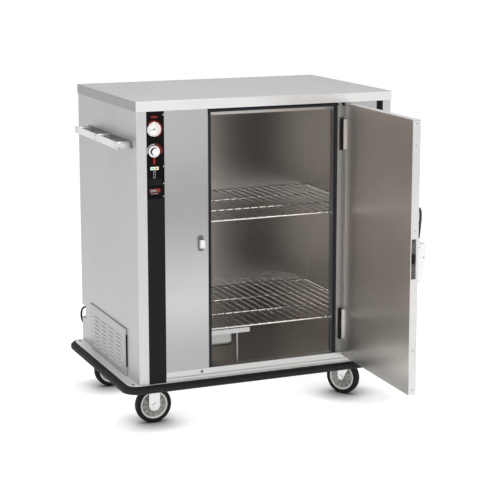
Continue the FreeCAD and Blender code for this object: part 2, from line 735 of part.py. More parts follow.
def control_strip():
    left = LEFT + dim.post_width
    right = left + dim.strip_width
    upper = box("strip_upper", (left, right), (FRONT - 1, FRONT + 1.5), (dim.sill_groove + 3, dim.panel_bottom - 1))
    foot = box("strip_foot", (left, right), (FRONT, FRONT + 1.5), (dim.deck_top, dim.sill_groove + 3))
    keep(fused("control_strip", [upper, foot]))


def control_panel():
    left = LEFT + dim.post_width
    right = left + dim.strip_width
    across = dim.control_across
    plate = box("panel_plate", (left, right), (FRONT - 1, FRONT + 1.5), (dim.panel_bottom, dim.body_top))
    keep(cut("control_panel", plate,
             rod("gauge_hole", dim.gauge_radius - 3, 10, (across, FRONT - 5, dim.gauge_height), "y"),
             rod("shaft_hole", 4.5, 10, (across, FRONT - 5, dim.knob_height), "y"),
             box("light_hole", (across - 15, across + 15), (FRONT - 5, FRONT + 5),
                 (dim.light_height - 4.5, dim.light_height + 4.5)),
             box("switch_hole", (across - 23, across + 23), (FRONT - 5, FRONT + 5),
                 (dim.switch_height - 12, dim.switch_height + 12))))


def thermometer():
    """Round dial thermometer: a turned case with a deep rim, a needle on a post and a flat lens."""
    face = FRONT - 1
    at = (dim.control_across, face, dim.gauge_height)
    forward = Rotation(Vector(1, 0, 0), 90)
    rim = 5
    case = turned("thermometer_case", [
        (0, -26), (dim.gauge_radius - 3, -26), (dim.gauge_radius - 3, 0), (dim.gauge_radius, 0),
        (dim.gauge_radius, rim - 1.5), (dim.gauge_radius - 1.5, rim), (dim.gauge_radius - 3, rim),
        (dim.gauge_radius - 4, 0.5), (0, 0.5)])
    keep(place(case, at, forward))
    lens = turned("thermometer_lens", [
        (0, rim - 1.9), (dim.gauge_radius - 3.5, rim - 1.9), (dim.gauge_radius - 3.4, rim - 0.9),
        (0, rim - 0.7)])
    keep(place(lens, at, forward))
    needle = new_body("needle_blade")
    pad(needle, "XY_Plane", [(-1.6, -7), (1.6, -7), (0.5, 19), (-0.5, 19)], 0.6)
    place(needle, (0, 0, 1.4))
    boss = rod("needle_boss", 3, 1.6, (0, 0, 0.8))
    keep(place(fused("thermometer_needle", [needle, boss]), at,
               forward.multiply(Rotation(Vector(0, 0, 1), 100))))


def thermostat_knob():
    """Straight-sided knob on a shaft, with a raised pointer on its face."""
    radius = dim.knob_radius
    knob = turned("knob_turned", [(0, -14), (4.1, -14), (4.1, 0.8), (radius - 0.5, 0.8), (radius, 4),
                                  (radius, 18.5), (radius - 1, 19.5), (0, 19.5)])
    pointer = box("knob_pointer", (-1.2, 1.2), (3, radius - 1.5), (18, 20.3))
    knob_set = fused("thermostat_knob", [knob, pointer])
    turn = Rotation(Vector(1, 0, 0), 90).multiply(Rotation(Vector(0, 0, 1), -40))
    keep(place(knob_set, (dim.control_across, FRONT - 1, dim.knob_height), turn))


def indicator():
    across = dim.control_across
    height = dim.light_height
    frame = box("light_frame", (across - 17, across + 17), (FRONT - 3, FRONT - 1), (height - 6.2, height + 6.2))
    sleeve = box("light_sleeve", (across - 14.9, across + 14.9), (FRONT - 1, FRONT + 14),
                 (height - 4.4, height + 4.4))
    windows = []
    lenses = []
    for name, start in (("green", -13.5), ("red", 1)):
        x = (across + start, across + start + 12.5)
        z = (height - 3.3, height + 3.3)
        windows.append(box(f"window_{name}", x, (FRONT - 5, FRONT + 10), z))
        block = box(f"lens_{name}_block", x, (FRONT - 3.6, FRONT + 10), z)
        lenses.append(rounded(f"lens_{name}", block, 1, lambda middle, edge:
                              middle.y < float(FRONT) - 3.5))
    keep(cut("indicator_bezel", fused("light_body", [frame, sleeve]), *windows))
    keep(group("indicator_lenses", lenses))


def power_switch():
    across = dim.control_across
    height = dim.switch_height
    frame = box("switch_frame", (across - 25, across + 25), (FRONT - 3, FRONT - 1), (height - 14, height + 14))
    sleeve = box("switch_sleeve", (across - 22.9, across + 22.9), (FRONT - 1, FRONT + 22),
                 (height - 11.9, height + 11.9))
    well = box("switch_well", (across - 21, across + 21), (FRONT - 5, FRONT + 12), (height - 10, height + 10))
    pin_half = 11.5
    pin_radius = 2
    pin_hole = rod("rocker_pin_hole", pin_radius + dim.running_gap, pin_half * 2 + 2,
                   (across, FRONT, height - pin_half - 1))
    keep(cut("switch_housing", fused("switch_body", [frame, sleeve]), well, pin_hole))
    rocker = new_body("rocker_blade")
    pad(rocker, "XY_Plane", [(-19, -3.2), (0, -4.2), (19, -8.2), (19, 2), (3, 8), (-3, 8), (-19, 3)], 19)
    place(rocker, (across, FRONT, height - 9.5))
    pin = rod("rocker_pin", pin_radius, pin_half * 2, (across, FRONT, height - pin_half))
    keep(fused("switch_rocker", [rocker, pin]))


def vent_cover():
    """Louvred tray over the electrical bay: rows of half-round louvres that open downward."""
    outer = float(LEFT - dim.vent_depth)
    y = (dim.plan_centre + dim.vent_front, dim.plan_centre + dim.vent_rear)
    z = (dim.vent_bottom, dim.vent_top)
    gauge = float(dim.sheet_gauge)
    tray = Part.makeBox(float(dim.vent_depth), float(y[1] - y[0]), float(z[1] - z[0]),
                        Vector(outer, float(y[0]), float(z[0])))
    tray = tray.makeFillet(4, [edge for edge in tray.Edges if edge.BoundBox.XMax < outer + 0.01])
    wide = float(y[1] - y[0])
    tall = float(z[1] - z[0])
    hollow = Part.makeBox(float(dim.vent_depth), wide - 2 * gauge, tall - 2 * gauge,
                          Vector(outer + gauge, float(y[0]) + gauge, float(z[0]) + gauge))
    front_gap = Part.makeBox(float(dim.vent_depth), 20, tall - 60,
                             Vector(outer + gauge, float(y[0]) - 10, float(z[0]) + 35))
    tray = tray.cut([hollow, front_gap])
    radius = 9
    proud = 5
    half_length = 27
    rows = 8
    columns = 4
    louvres = []
    slots = []
    for row in range(rows):
        for column in range(columns):
            centre = Vector(outer + radius - proud, float(y[0]) + 96 + column * 98,
                            float(z[0]) + 24 + row * 17.5)
            ends = [centre + Vector(0, share * half_length, 0) for share in (-1, 1)]
            caps = [Part.makeSphere(radius, end) for end in ends]
            pod = cylinder_between(ends[0], ends[1], radius).fuse(caps)
            reach = half_length + radius
            above = Part.makeBox(proud + 1, reach * 2, radius + 1,
                                 Vector(outer - proud, centre.y - reach, centre.z))
            louvres.append(pod.common(above))
            slots.append(Part.makeBox(proud + 2, half_length * 2, 3,
                                      Vector(outer - proud + 1.2, centre.y - half_length, centre.z - 0.01)))
    keep(solid_piece("vent_cover", tray.fuse(louvres).cut(slots).removeSplitter()))


def screws():
    """All visible screws and rivets: a low domed head on a short shank."""
    panel_right = float(LEFT + dim.post_width + dim.strip_width) - 3.5
    front = float(FRONT) - 1
    left = float(LEFT)
    centre = float(dim.plan_centre)
    spots = [(Vector(panel_right, front, height), Vector(0, -1, 0), 2.4) for height in (1287, 1082, 1014, 962)]
    vent_face = left - float(dim.vent_depth)
    for along in (-222, 236):
        for height in (218, 272, 336):
            spots.append((Vector(vent_face, centre + along, height), Vector(-1, 0, 0), 3.2))
    for across in (-1, 1):
        for along in (-1, 1):
            spots.append((Vector(across * 582, centre + along * 366, float(dim.deck_top)), Vector(0, 0, 1), 7))
    spots.append((Vector(-292, float(FRONT), 224), Vector(0, -1, 0), 6.5))
    keeper_face = float(FRONT - dim.keeper_plate)
    for across, height in ((-294, 785), (-294, 734)):
        spots.append((Vector(across, keeper_face, height), Vector(0, -1, 0), 4))
    bar_outer = float(RIGHT + dim.bar_out)
    for side in (-1, 1):
        for along in standoff_places():
            for height in (8, 21):
                spots.append((Vector(side * bar_outer, centre + along, float(dim.bar_bottom) + height),
                              Vector(side, 0, 0), 3.6))
    solids = []
    for base, outward, radius in spots:
        shank = Part.makeCylinder(radius * 0.5, 5, base, outward * -1)
        head = Part.makeCone(radius, radius * 0.55, radius * 0.42, base, outward)
        solids.append(head.fuse(shank).removeSplitter())
    keep(solid_piece("screws", Part.makeCompound(solids)))


def standoff_places():
    rear = float(dim.bar_rear) - 28
    front = float(dim.bar_rear - dim.bar_length) + 28
    return rear, (rear + front) / 2, front


def push_bars():
    """An angle bar on each side, held off a strip on the wall by three blocks."""
    gauge = dim.bar_gauge
    y = (dim.plan_centre + dim.bar_rear - dim.bar_length, dim.plan_centre + dim.bar_rear)
    top = dim.bar_bottom + dim.bar_height
    bars = []
    blocks = []
    for name, side in (("left", -1), ("right", 1)):
        outer = (RIGHT + dim.bar_out) * side
        inner = outer - gauge * side
        plate = box(f"{name}_bar_plate", span(outer, inner), y, (dim.bar_bottom, top))
        flange = box(f"{name}_bar_flange", span(outer, outer - dim.bar_thickness * side), y,
                     (dim.bar_bottom, dim.bar_bottom + gauge))
        bars.append(fused(f"{name}_bar", [plate, flange]))
        strip_face = (RIGHT + dim.sheet_gauge) * side
        blocks.append(box(f"{name}_bar_strip", span(RIGHT * side, strip_face), y, (dim.bar_bottom, top)))
        for number, along in enumerate(standoff_places()):
            centre = dim.plan_centre + round(along, 3)
            block = box(f"{name}_block_{number}", span(strip_face, inner),
                        (centre - dim.standoff_width / 2, centre + dim.standoff_width / 2),
                        (dim.bar_bottom + gauge, top - 2))
            blocks.append(rounded(f"{name}_standoff_{number}", block, 6, lambda middle, edge:
                                  is_along(edge, "x") and middle.z > float(top) - 3))
    keep(group("push_bars", bars))
    keep(group("bar_standoffs", blocks))


# ---------------------------------------------------------------- door, hinges and latch

def on_door(piece):
    """Hangs a piece drawn with the door closed and the hinge axis at the origin."""
    turn = Rotation(Vector(0, 0, 1), float(dim.door_open))
    return keep(place(piece, (dim.hinge_across, HINGE_Y, 0), turn))


def door_edges():
    start = -dim.door_start
    end = start - dim.door_width
    inner = -dim.door_gap
    outer = inner - dim.door_thickness
    return start, end, inner, outer


def door_shell():
    start, end, inner, outer = door_edges()
    gauge = dim.sheet_gauge
    lip = inner - gauge
    z = (dim.door_bottom, dim.door_top)
    block = box("door_block", (end, start), (outer, lip), z)
    soft = rounded("door_block_rounded", block, 3,
                   lambda middle, edge: middle.y < float(outer) + 0.01 or
                   (is_along(edge, "y") and abs(middle.x - float(end)) < 0.01))
    hollow = box("door_hollow", (end + gauge, start - gauge), (outer + gauge, lip + 1),
                 (dim.door_bottom + gauge, dim.door_top - gauge))
    slot_y = (inner - 23, inner - 3.5)
    slot = box("door_slot", (end - 1, end + 8), slot_y, (dim.slot_bottom, dim.slot_top))
    on_door(cut("door_outer_skin", soft, hollow, slot))
    on_door(group("door_inner_skin", [box("inner_sheet", (end, start), (lip, inner), z)]))
    foam = box("foam_block", (end + gauge, start - gauge), (outer + gauge, lip),
               (dim.door_bottom + gauge, dim.door_top - gauge))
    pocket_cut = box("foam_pocket", (end, end + 34), (inner - 26, inner - 2.5),
                     (dim.slot_bottom - 6, dim.slot_top + 6))
    on_door(cut("door_core", foam, pocket_cut))


def hinges():
    third = dim.hinge_length / 3
    slack = 0.3
    seat = dim.gasket_depth - dim.hinge_inside
    frame_parts = []
    door_parts = []
    for name, base in (("upper", dim.upper_hinge), ("lower", dim.lower_hinge)):
        leaf = box(f"{name}_leaf", (-21, -3), (seat - 2, seat), (base, base + dim.hinge_length))
        knuckles = []
        for place_name, low in (("foot", base), ("head", base + third * 2)):
            label = f"{name}_{place_name}"
            knuckles.append(rod(label + "_knuckle", dim.barrel_radius, third - slack, (0, 0, low)))
            knuckles.append(box(label + "_web", (-4, 1), (2, seat - 1), (low, low + third - slack)))
        blank = fused(f"{name}_frame_blank", [leaf] + knuckles)
        bored = cut(f"{name}_frame_leaf", blank,
                    rod(f"{name}_frame_bore", dim.pin_radius, dim.hinge_length + 10, (0, 0, base - 5)),
                    box(f"{name}_knuckle_gap", (-9, 9), (-9, seat - 1.99),
                        (base + third - slack, base + third * 2)))
        pin = rod(f"{name}_pin_shaft", dim.pin_radius, dim.hinge_length + 3, (0, 0, base - 1.5))
        heads = [rod(f"{name}_pin_cap_{end}", dim.barrel_radius, 1.5, (0, 0, level))
                 for end, level in (("low", base - 1.5), ("high", base + dim.hinge_length))]
        frame_parts += [bored, fused(f"{name}_pin", [pin] + heads)]
        low = base + third
        high = base + third * 2 - slack
        plate_x = (-dim.door_start, -dim.door_start + 1.5)
        door_leaf = [rod(f"{name}_door_knuckle", dim.barrel_radius, high - low, (0, 0, low)),
                     box(f"{name}_door_web", (-dim.door_start + 1, -2), (-5, -2), (low, high)),
                     box(f"{name}_door_plate", plate_x, (-40, -2), (base + 2, base + dim.hinge_length - 2))]
        trimmed = cut(f"{name}_door_leaf", fused(f"{name}_door_blank", door_leaf),
                      rod(f"{name}_door_bore", dim.pin_radius + dim.running_gap, dim.hinge_length,
                          (0, 0, base)))
        door_parts.append(trimmed)
    keep(place(group("hinge_frame_leaves", frame_parts), (dim.hinge_across, HINGE_Y, 0)))
    on_door(group("hinge_door_leaves", door_parts))


def latch_body(end, outer):
    """Flange against the door face with a tapered body on it and two ears for the lever's pin."""
    bottom = dim.case_bottom
    top = dim.case_top
    flange_face = outer - 12
    face = outer - dim.case_depth
    flange = box("case_flange_block", (end + 3, end + 61), (flange_face, outer), (bottom, top))
    flange = rounded("case_flange", flange, 5, lambda middle, edge: middle.y < float(flange_face) + 0.01)
    body = new_body("case_body")
    pad(body, "YZ_Plane", [(flange_face + 2, bottom + 10), (face + 12, bottom + 14), (face, top - 60),
                           (face, top - 14), (face + 6, top - 6), (flange_face + 2, top - 6)], 44)
    round_edges(body, 4, lambda middle, edge: not is_along(edge, "x") and middle.y < float(flange_face) - 1)
    place(body, (end + 10, 0, 0))
    ears = [box(f"case_ear_{number}", (low, low + 5), (outer - 18, outer), (top - 8, dim.lever_pivot + 6))
            for number, low in enumerate((end + 19, end + 40))]
    return fused("case_blank", [flange, body] + ears)


def lever_outline(y, low, top):
    """Side view of the lever: a foot on the pin, a slim blade and a hooked tip."""
    return [(y + 2.5, low - 3), (y - 2.5, low - 5), (y - 5, low + 2), (y - 9, low + 40),
            (y - 12.5, top - 45), (y - 12.5, top - 22), (y - 10, top - 8), (y - 5, top), (y - 2, top - 2.5), (y - 6, top - 10),
            (y - 8, top - 24), (y - 8, top - 45), (y - 4.8, low + 40), (y + 2.5, low + 6)]


def latch():
    _, end, inner, outer = door_edges()
    pivot = dim.lever_pivot
    pivot_y = outer - 12
    pin_radius = 2.5
    bored = cut("case_bored", latch_body(end, outer),
                rod("case_bore", pin_radius, 60, (end, pivot_y, pivot), "x"))
    pin = rod("latch_pin", pin_radius, 28, (end + 18, pivot_y, pivot), "x")
    on_door(group("latch_case", [bored, pin]))

    wide = 14
    lever = new_body("lever_blade")
    pad(lever, "YZ_Plane", lever_outline(pivot_y, pivot, dim.lever_top), wide)
    place(lever, (end + 25, 0, 0))
    eye = rod("lever_eye", 5.5, wide, (end + 25, pivot_y, pivot), "x")
    on_door(cut("latch_lever", fused("lever_blank", [lever, eye]),
                rod("lever_bore", pin_radius + dim.running_gap, 80, (end, pivot_y, pivot), "x")))

    bolt = new_body("bolt_block")
    tip = end + 1
    pad(bolt, "XY_Plane", [(tip, inner - 19), (tip + 27, inner - 19), (tip + 27, inner - 6),
                           (tip + 7, inner - 6)], dim.bolt_height)
    place(bolt, (0, 0, dim.bolt_bottom))
    on_door(group("latch_bolt", [bolt]))


def keeper():
    """Strike on the front panel: a screwed plate with a hook that the bolt catches behind."""
    door_end = dim.hinge_across - dim.door_start - dim.door_width
    right = door_end - 2
    left = right - 24
    plate_face = FRONT - dim.keeper_plate
    low = dim.bolt_bottom
    high = low + dim.bolt_height
    plate_y = (plate_face, FRONT)
    plate = box("keeper_plate_block", (left, right), plate_y, (low - 15, high + 15))
    lobes = rounded("keeper_plate", plate, 8, lambda middle, edge: is_along(edge, "y"))
    hook = new_body("keeper_hook")
    lip_back = HINGE_Y - dim.door_gap - 20
    pad(hook, "XY_Plane", [(left + 3, plate_face + 1), (left + 3, lip_back - 1), (left + 9, lip_back - 6),
                           (right - 2, lip_back - 6), (right, lip_back - 3), (right, lip_back),
                           (left + 12, lip_back), (left + 9, lip_back + 4), (left + 9, plate_face + 1)],
        dim.bolt_height)
    round_edges(hook, 2.4, lambda middle, edge: not is_along(edge, "z") and middle.y < float(lip_back) - 0.5)
    place(hook, (0, 0, low))
    keep(fused("keeper", [lobes, hook]))


# ---------------------------------------------------------------- cord

# The cord leaves the corner recess towards the back, drops in one loop behind the cabinet and runs
# to its coil on the floor. Points are relative to the middle of the cabinet's plan.
CORD_ROUTE = [(-533, 370, 334), (-533, 404, 335.5), (-535, 442, 331), (-538, 474, 312), (-538, 490, 280),
              (-531, 484, 246), (-510, 466, 219), (-477, 450, 198), (-438, 443, 174), (-398, 443, 147),
              (-359, 448, 116), (-322, 455, 84), (-284, 464, 52), (-242, 476, 25), (-198, 490, 8),
              (-153, 505, 4.5), (-114, 524, 4.5)]
COIL_CENTRE = (-143, 583)
COIL_MEAN_RADIUS = 52
COIL_HALF_WIDTH = 18.3
COIL_HEIGHT = 18.5
LAST_TURN_RADIUS = 62.6


def route_edges(points):
    """Straight runs joined by arcs that touch both runs, each as large as the shorter run allows."""
    edges = []
    radii = []
    here = points[0]
    for before, corner, after in zip(points, points[1:], points[2:]):
        incoming = (corner - before).normalize()
        outgoing = (after - corner).normalize()
        turn = incoming.getAngle(outgoing)
        setback = 0.45 * min((corner - before).Length, (after - corner).Length)
        radii.append(setback / math.tan(turn / 2))
        start = corner - incoming * setback
        end = corner + outgoing * setback
        bisector = (outgoing - incoming).normalize()
        centre_gap = math.hypot(radii[-1], setback)
        middle = corner + bisector * (centre_gap - radii[-1])
        edges.append(Part.LineSegment(here, start).toShape())
        edges.append(Part.Arc(start, middle, end).toShape())
        here = end
    edges.append(Part.LineSegment(here, points[-1]).toShape())
    return edges, radii


def cord():
    centre = float(dim.plan_centre)
    radius = float(dim.cord_diameter) / 2
    points = [Vector(x, y + centre, z) for x, y, z in CORD_ROUTE]
    edges, radii = route_edges(points)
    path = Part.Wire(edges)
    start = points[0]
    direction = (points[1] - points[0]).normalize()
    section = Part.Wire([Part.makeCircle(radius, start, direction)])
    tube = path.makePipeShell([section], True, False)
    expected = math.pi * radius ** 2 * path.Length
    print(f"cord length {path.Length:.0f}, volume ratio {tube.Volume / expected:.4f}, "
          f"smallest radius {min(radii):.0f}")
    print("arc radii", [round(value) for value in radii])
    keep(solid_piece("cord", tube))

    gland_base = Vector(start.x, float(dim.plan_centre + dim.notch_front), start.z)
    taper = Part.makeCone(11, radius + 1.6, (start - gland_base).Length, gland_base, start - gland_base)
    keep(solid_piece("cord_gland", taper))

    coil_x, coil_y = COIL_CENTRE
    middle = Vector(coil_x, coil_y + centre, 0)
    outer = Part.makeCylinder(COIL_MEAN_RADIUS + COIL_HALF_WIDTH, COIL_HEIGHT, middle)
    hole = Part.makeCylinder(COIL_MEAN_RADIUS - COIL_HALF_WIDTH, COIL_HEIGHT, middle)
    keep(solid_piece("cord_coil", outer.cut(hole)))


def cord_plug():
    """Three-pin plug lying beside the coil, where the last turn runs into it."""
    at = Vector(COIL_CENTRE[0] + LAST_TURN_RADIUS, COIL_CENTRE[1] + 69 + float(dim.plan_centre), 0)
    width = 30
    shell = Part.makeBox(width, 42, 26, at + Vector(-width / 2, -21, 0))
    shell = shell.makeFillet(7, [edge for edge in shell.Edges if is_along(edge, "y")])
    sleeve = Part.makeCone(6, 9.5, 18, at + Vector(0, -38.9, 13), Vector(0, 1, 0))
    blades = [Part.makeBox(1.6, 17, 6.4, at + Vector(offset - 0.8, 21, 14)) for offset in (-6.35, 6.35)]
    ground = Part.makeCylinder(2.4, 20, at + Vector(0, 21, 8), Vector(0, 1, 0))
    keep(solid_piece("cord_plug", shell.fuse([sleeve, ground] + blades).removeSplitter()))


# ---------------------------------------------------------------- build and write

def build():
    base_deck()
    bumper()
    rigid_casters()
    swivel_casters()
    cap()
    side_panels()
    back_panel()
    front_panels()
    sill_rail()
    door_frame()
    door_gasket()
    liner()
    insulation()
    wire_shelf("upper_wire_shelf", float(dim.upper_shelf))
    wire_shelf("lower_wire_shelf", float(dim.lower_shelf))
    shelf_supports()
    heater()
    control_strip()
    control_panel()
    thermometer()
    thermostat_knob()
    indicator()
    power_switch()
    vent_cover()
    screws()
    push_bars()
    door_shell()
    hinges()
    latch()
    keeper()
    cord()
    cord_plug()


def check_document():
    doc.recompute()
    for item in doc.Objects:
        if {"Invalid", "Error"} & set(item.State):
            raise RuntimeError(f"{item.Label}: {item.State}")
    for piece in nodes:
        if piece.Shape.isNull() or not piece.Shape.isValid() or not piece.Shape.Solids:
            raise RuntimeError(f"{piece.Label}: bad shape")


def write_steps():
    os.makedirs("parts", exist_ok=True)
    for name in os.listdir("parts"):
        if name.endswith(".step"):
            os.remove(os.path.join("parts", name))
    for piece in nodes:
        piece.Shape.exportStep(os.path.join("parts", piece.Label + ".step"))


def report_box():
    corded = ("cord", "cord_coil", "cord_plug", "cord_gland")
    whole = FreeCAD.BoundBox()
    for piece in nodes:
        if piece.Label not in corded:
            whole.add(piece.Shape.BoundBox)
    print(f"{len(nodes)} nodes, x {whole.XMin:.2f}..{whole.XMax:.2f}, y {whole.YMin:.2f}..{whole.YMax:.2f}, "
          f"z {whole.ZMin:.2f}..{whole.ZMax:.2f}")


build()
check_document()
report_box()
write_steps()
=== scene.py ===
import json
import math

import bmesh
import bpy
from mathutils import Matrix, Vector


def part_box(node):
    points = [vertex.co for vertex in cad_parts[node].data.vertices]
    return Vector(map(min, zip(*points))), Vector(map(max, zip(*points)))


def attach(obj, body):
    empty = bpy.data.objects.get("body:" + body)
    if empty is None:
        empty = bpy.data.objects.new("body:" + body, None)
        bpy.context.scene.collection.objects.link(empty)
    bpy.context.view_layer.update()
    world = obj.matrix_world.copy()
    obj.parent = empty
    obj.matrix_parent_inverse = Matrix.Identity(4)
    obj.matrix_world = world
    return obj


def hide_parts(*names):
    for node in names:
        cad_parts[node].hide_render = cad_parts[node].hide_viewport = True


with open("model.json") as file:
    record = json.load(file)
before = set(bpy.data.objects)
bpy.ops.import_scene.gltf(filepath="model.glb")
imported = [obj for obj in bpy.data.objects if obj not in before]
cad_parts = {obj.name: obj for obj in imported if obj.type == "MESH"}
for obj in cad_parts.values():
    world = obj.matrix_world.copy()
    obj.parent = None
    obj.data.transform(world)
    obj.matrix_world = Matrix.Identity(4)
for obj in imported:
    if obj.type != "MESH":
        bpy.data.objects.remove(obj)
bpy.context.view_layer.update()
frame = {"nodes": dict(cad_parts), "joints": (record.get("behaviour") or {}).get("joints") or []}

# Looks of the heated food holding cabinet. Metres, in the same frame as the CAD: +Z up, front on -Y.
MM = 0.001

nodes = frame["nodes"]
joints = {joint["name"]: joint for joint in frame["joints"]}
SHELL_LOW, SHELL_HIGH = (Vector(corner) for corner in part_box("cap"))
PLAN_CENTRE = (SHELL_LOW.y + SHELL_HIGH.y) / 2
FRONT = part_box("left_front_panel")[0][1]
# The door stands open by this many degrees, and this is its width in millimetres from the hinge axis.
DOOR_OPEN = 88
DOOR_END = 620
NOWHERE = Matrix.Identity(4)


# ---------------------------------------------------------------- materials

# Noise is stretched along the axis with the small factor, so the grain runs that way.
EVEN_GRAIN = (1, 1, 1)
UPRIGHT_GRAIN = (60, 60, 1)
FLAT_GRAIN = (1, 60, 60)
DEEP_GRAIN = (60, 1, 60)
BRUSH_SCALE = 14
FINE_DETAIL = 6.0
CLOUD_SCALE = 3.0
CLOUD_DETAIL = 3.0
CLOUD_DARKEST = (0.88, 0.88, 0.88)
CLOUD_IN_ROUGHNESS = 0.4
RELIEF_DEPTH = 0.0002
DULL_SPECULAR = 0.12
PANEL_SPECULAR = 0.03
LAMP_GLOW = 0.35


def grey(value):
    return (value, value, value)


def socket_values(shader, values):
    for name, value in values.items():
        shader.inputs[name].default_value = value


def ramp_node(tree, low, high, start=0.3, end=0.7):
    ramp = tree.nodes.new("ShaderNodeValToRGB")
    first, last = ramp.color_ramp.elements
    first.position = start
    first.color = (*low, 1)
    last.position = end
    last.color = (*high, 1)
    return ramp


def range_node(tree, low, high, start=0.3, end=0.7):
    spread = tree.nodes.new("ShaderNodeMapRange")
    socket_values(spread, {"From Min": start, "From Max": end, "To Min": low, "To Max": high})
    return spread


def noise_node(tree, stretch, scale, detail):
    """Noise over the object's own coordinates, stretched by a factor along each axis."""
    place = tree.nodes.new("ShaderNodeTexCoord")
    mapping = tree.nodes.new("ShaderNodeMapping")
    mapping.inputs["Scale"].default_value = stretch
    noise = tree.nodes.new("ShaderNodeTexNoise")
    socket_values(noise, {"Scale": scale, "Detail": detail})
    tree.links.new(place.outputs["Object"], mapping.inputs["Vector"])
    tree.links.new(mapping.outputs["Vector"], noise.inputs["Vector"])
    return noise.outputs["Fac"]


def multiply_colours(tree, first, second, share):
    mix = tree.nodes.new("ShaderNodeMix")
    mix.data_type = "RGBA"
    mix.blend_type = "MULTIPLY"
    mix.inputs["Factor"].default_value = share
    tree.links.new(first, mix.inputs["A"])
    tree.links.new(second, mix.inputs["B"])
    return mix.outputs["Result"]


def math_node(tree, operation, value, amount):
    node = tree.nodes.new("ShaderNodeMath")
    node.operation = operation
    node.inputs[1].default_value = amount
    tree.links.new(value, node.inputs[0])
    return node


def grained_colour(tree, tint, variation, cloud_share, fine, slow):
    darker = tuple(max(0.0, value * (1 - variation)) for value in tint)
    lighter = tuple(min(1.0, value * (1 + variation)) for value in tint)
    colour = ramp_node(tree, darker, lighter)
    tree.links.new(fine, colour.inputs["Fac"])
    cloudy = ramp_node(tree, CLOUD_DARKEST, grey(1), 0.35, 0.65)
    tree.links.new(slow, cloudy.inputs["Fac"])
    return multiply_colours(tree, colour.outputs["Color"], cloudy.outputs["Color"], cloud_share)


def grained_roughness(tree, roughness, rough_spread, fine, slow):
    fine_part = math_node(tree, "MULTIPLY", fine, 1 - CLOUD_IN_ROUGHNESS)
    both = math_node(tree, "MULTIPLY_ADD", slow, CLOUD_IN_ROUGHNESS)
    tree.links.new(fine_part.outputs["Value"], both.inputs[2])
    rough = range_node(tree, roughness - rough_spread, roughness + rough_spread)
    tree.links.new(both.outputs["Value"], rough.inputs["Value"])
    return rough.outputs["Result"]


def surface(name, tint, metallic, roughness, stretch, grain, variation, rough_spread, bump,
            cloud_share=0.5, **extra):
    """Procedural finish: fine grain in colour, roughness and relief under a slow cloudy variation."""
    material = bpy.data.materials.new(name)
    material.use_nodes = True
    tree = material.node_tree
    shader = tree.nodes["Principled BSDF"]
    shader.inputs["Metallic"].default_value = metallic
    socket_values(shader, extra)
    fine = noise_node(tree, stretch, grain, FINE_DETAIL)
    slow = noise_node(tree, EVEN_GRAIN, CLOUD_SCALE, CLOUD_DETAIL)
    colour = grained_colour(tree, tint, variation, cloud_share, fine, slow)
    tree.links.new(colour, shader.inputs["Base Color"])
    tree.links.new(grained_roughness(tree, roughness, rough_spread, fine, slow), shader.inputs["Roughness"])
    relief = tree.nodes.new("ShaderNodeBump")
    socket_values(relief, {"Strength": bump, "Distance": RELIEF_DEPTH})
    tree.links.new(fine, relief.inputs["Height"])
    tree.links.new(relief.outputs["Normal"], shader.inputs["Normal"])
    return material


def brushed(name, tint, roughness, stretch, variation=0.04, metallic=1.0):
    """Steel sheet with its scratches along one axis."""
    return surface(name, tint, metallic, roughness, stretch, BRUSH_SCALE, variation, 0.05, 0.04)


def metal(name, tint, roughness, grain, variation, rough_spread, bump, metallic=1.0):
    return surface(name, tint, metallic, roughness, EVEN_GRAIN, grain, variation, rough_spread, bump)


def moulded(name, tint, roughness, grain, variation, rough_spread, bump, **extra):
    """Plastic, paint or rubber."""
    return surface(name, tint, 0.0, roughness, EVEN_GRAIN, grain, variation, rough_spread, bump, **extra)


def dull(name, tint, roughness, grain, variation, rough_spread, bump, specular=DULL_SPECULAR):
    """Plastic, print or rubber that reflects little, so that it stays dark in a white studio."""
    return moulded(name, tint, roughness, grain, variation, rough_spread, bump,
                   **{"Specular IOR Level": specular})


def paint_light_by_height(material, stops):
    """Paints light and shade into a finish: multiplies it by tints that change softly up the piece; stops
    are (height in metres, tint).
    """
    tree = material.node_tree
    base = tree.nodes["Principled BSDF"].inputs["Base Color"]
    place = tree.nodes.new("ShaderNodeTexCoord")
    split = tree.nodes.new("ShaderNodeSeparateXYZ")
    lowest = stops[0][0]
    highest = stops[-1][0]
    spread = range_node(tree, 0, 1, lowest, highest)
    ramp = ramp_node(tree, stops[0][1], stops[-1][1], 0, 1)
    ramp.color_ramp.interpolation = "EASE"
    for height, tint in stops[1:-1]:
        stop = ramp.color_ramp.elements.new((height - lowest) / (highest - lowest))
        stop.color = (*tint, 1)
    tree.links.new(place.outputs["Object"], split.inputs["Vector"])
    tree.links.new(split.outputs["Z"], spread.inputs["Value"])
    tree.links.new(spread.outputs["Result"], ramp.inputs["Fac"])
    tree.links.new(multiply_colours(tree, base.links[0].from_socket, ramp.outputs["Color"], 1), base)
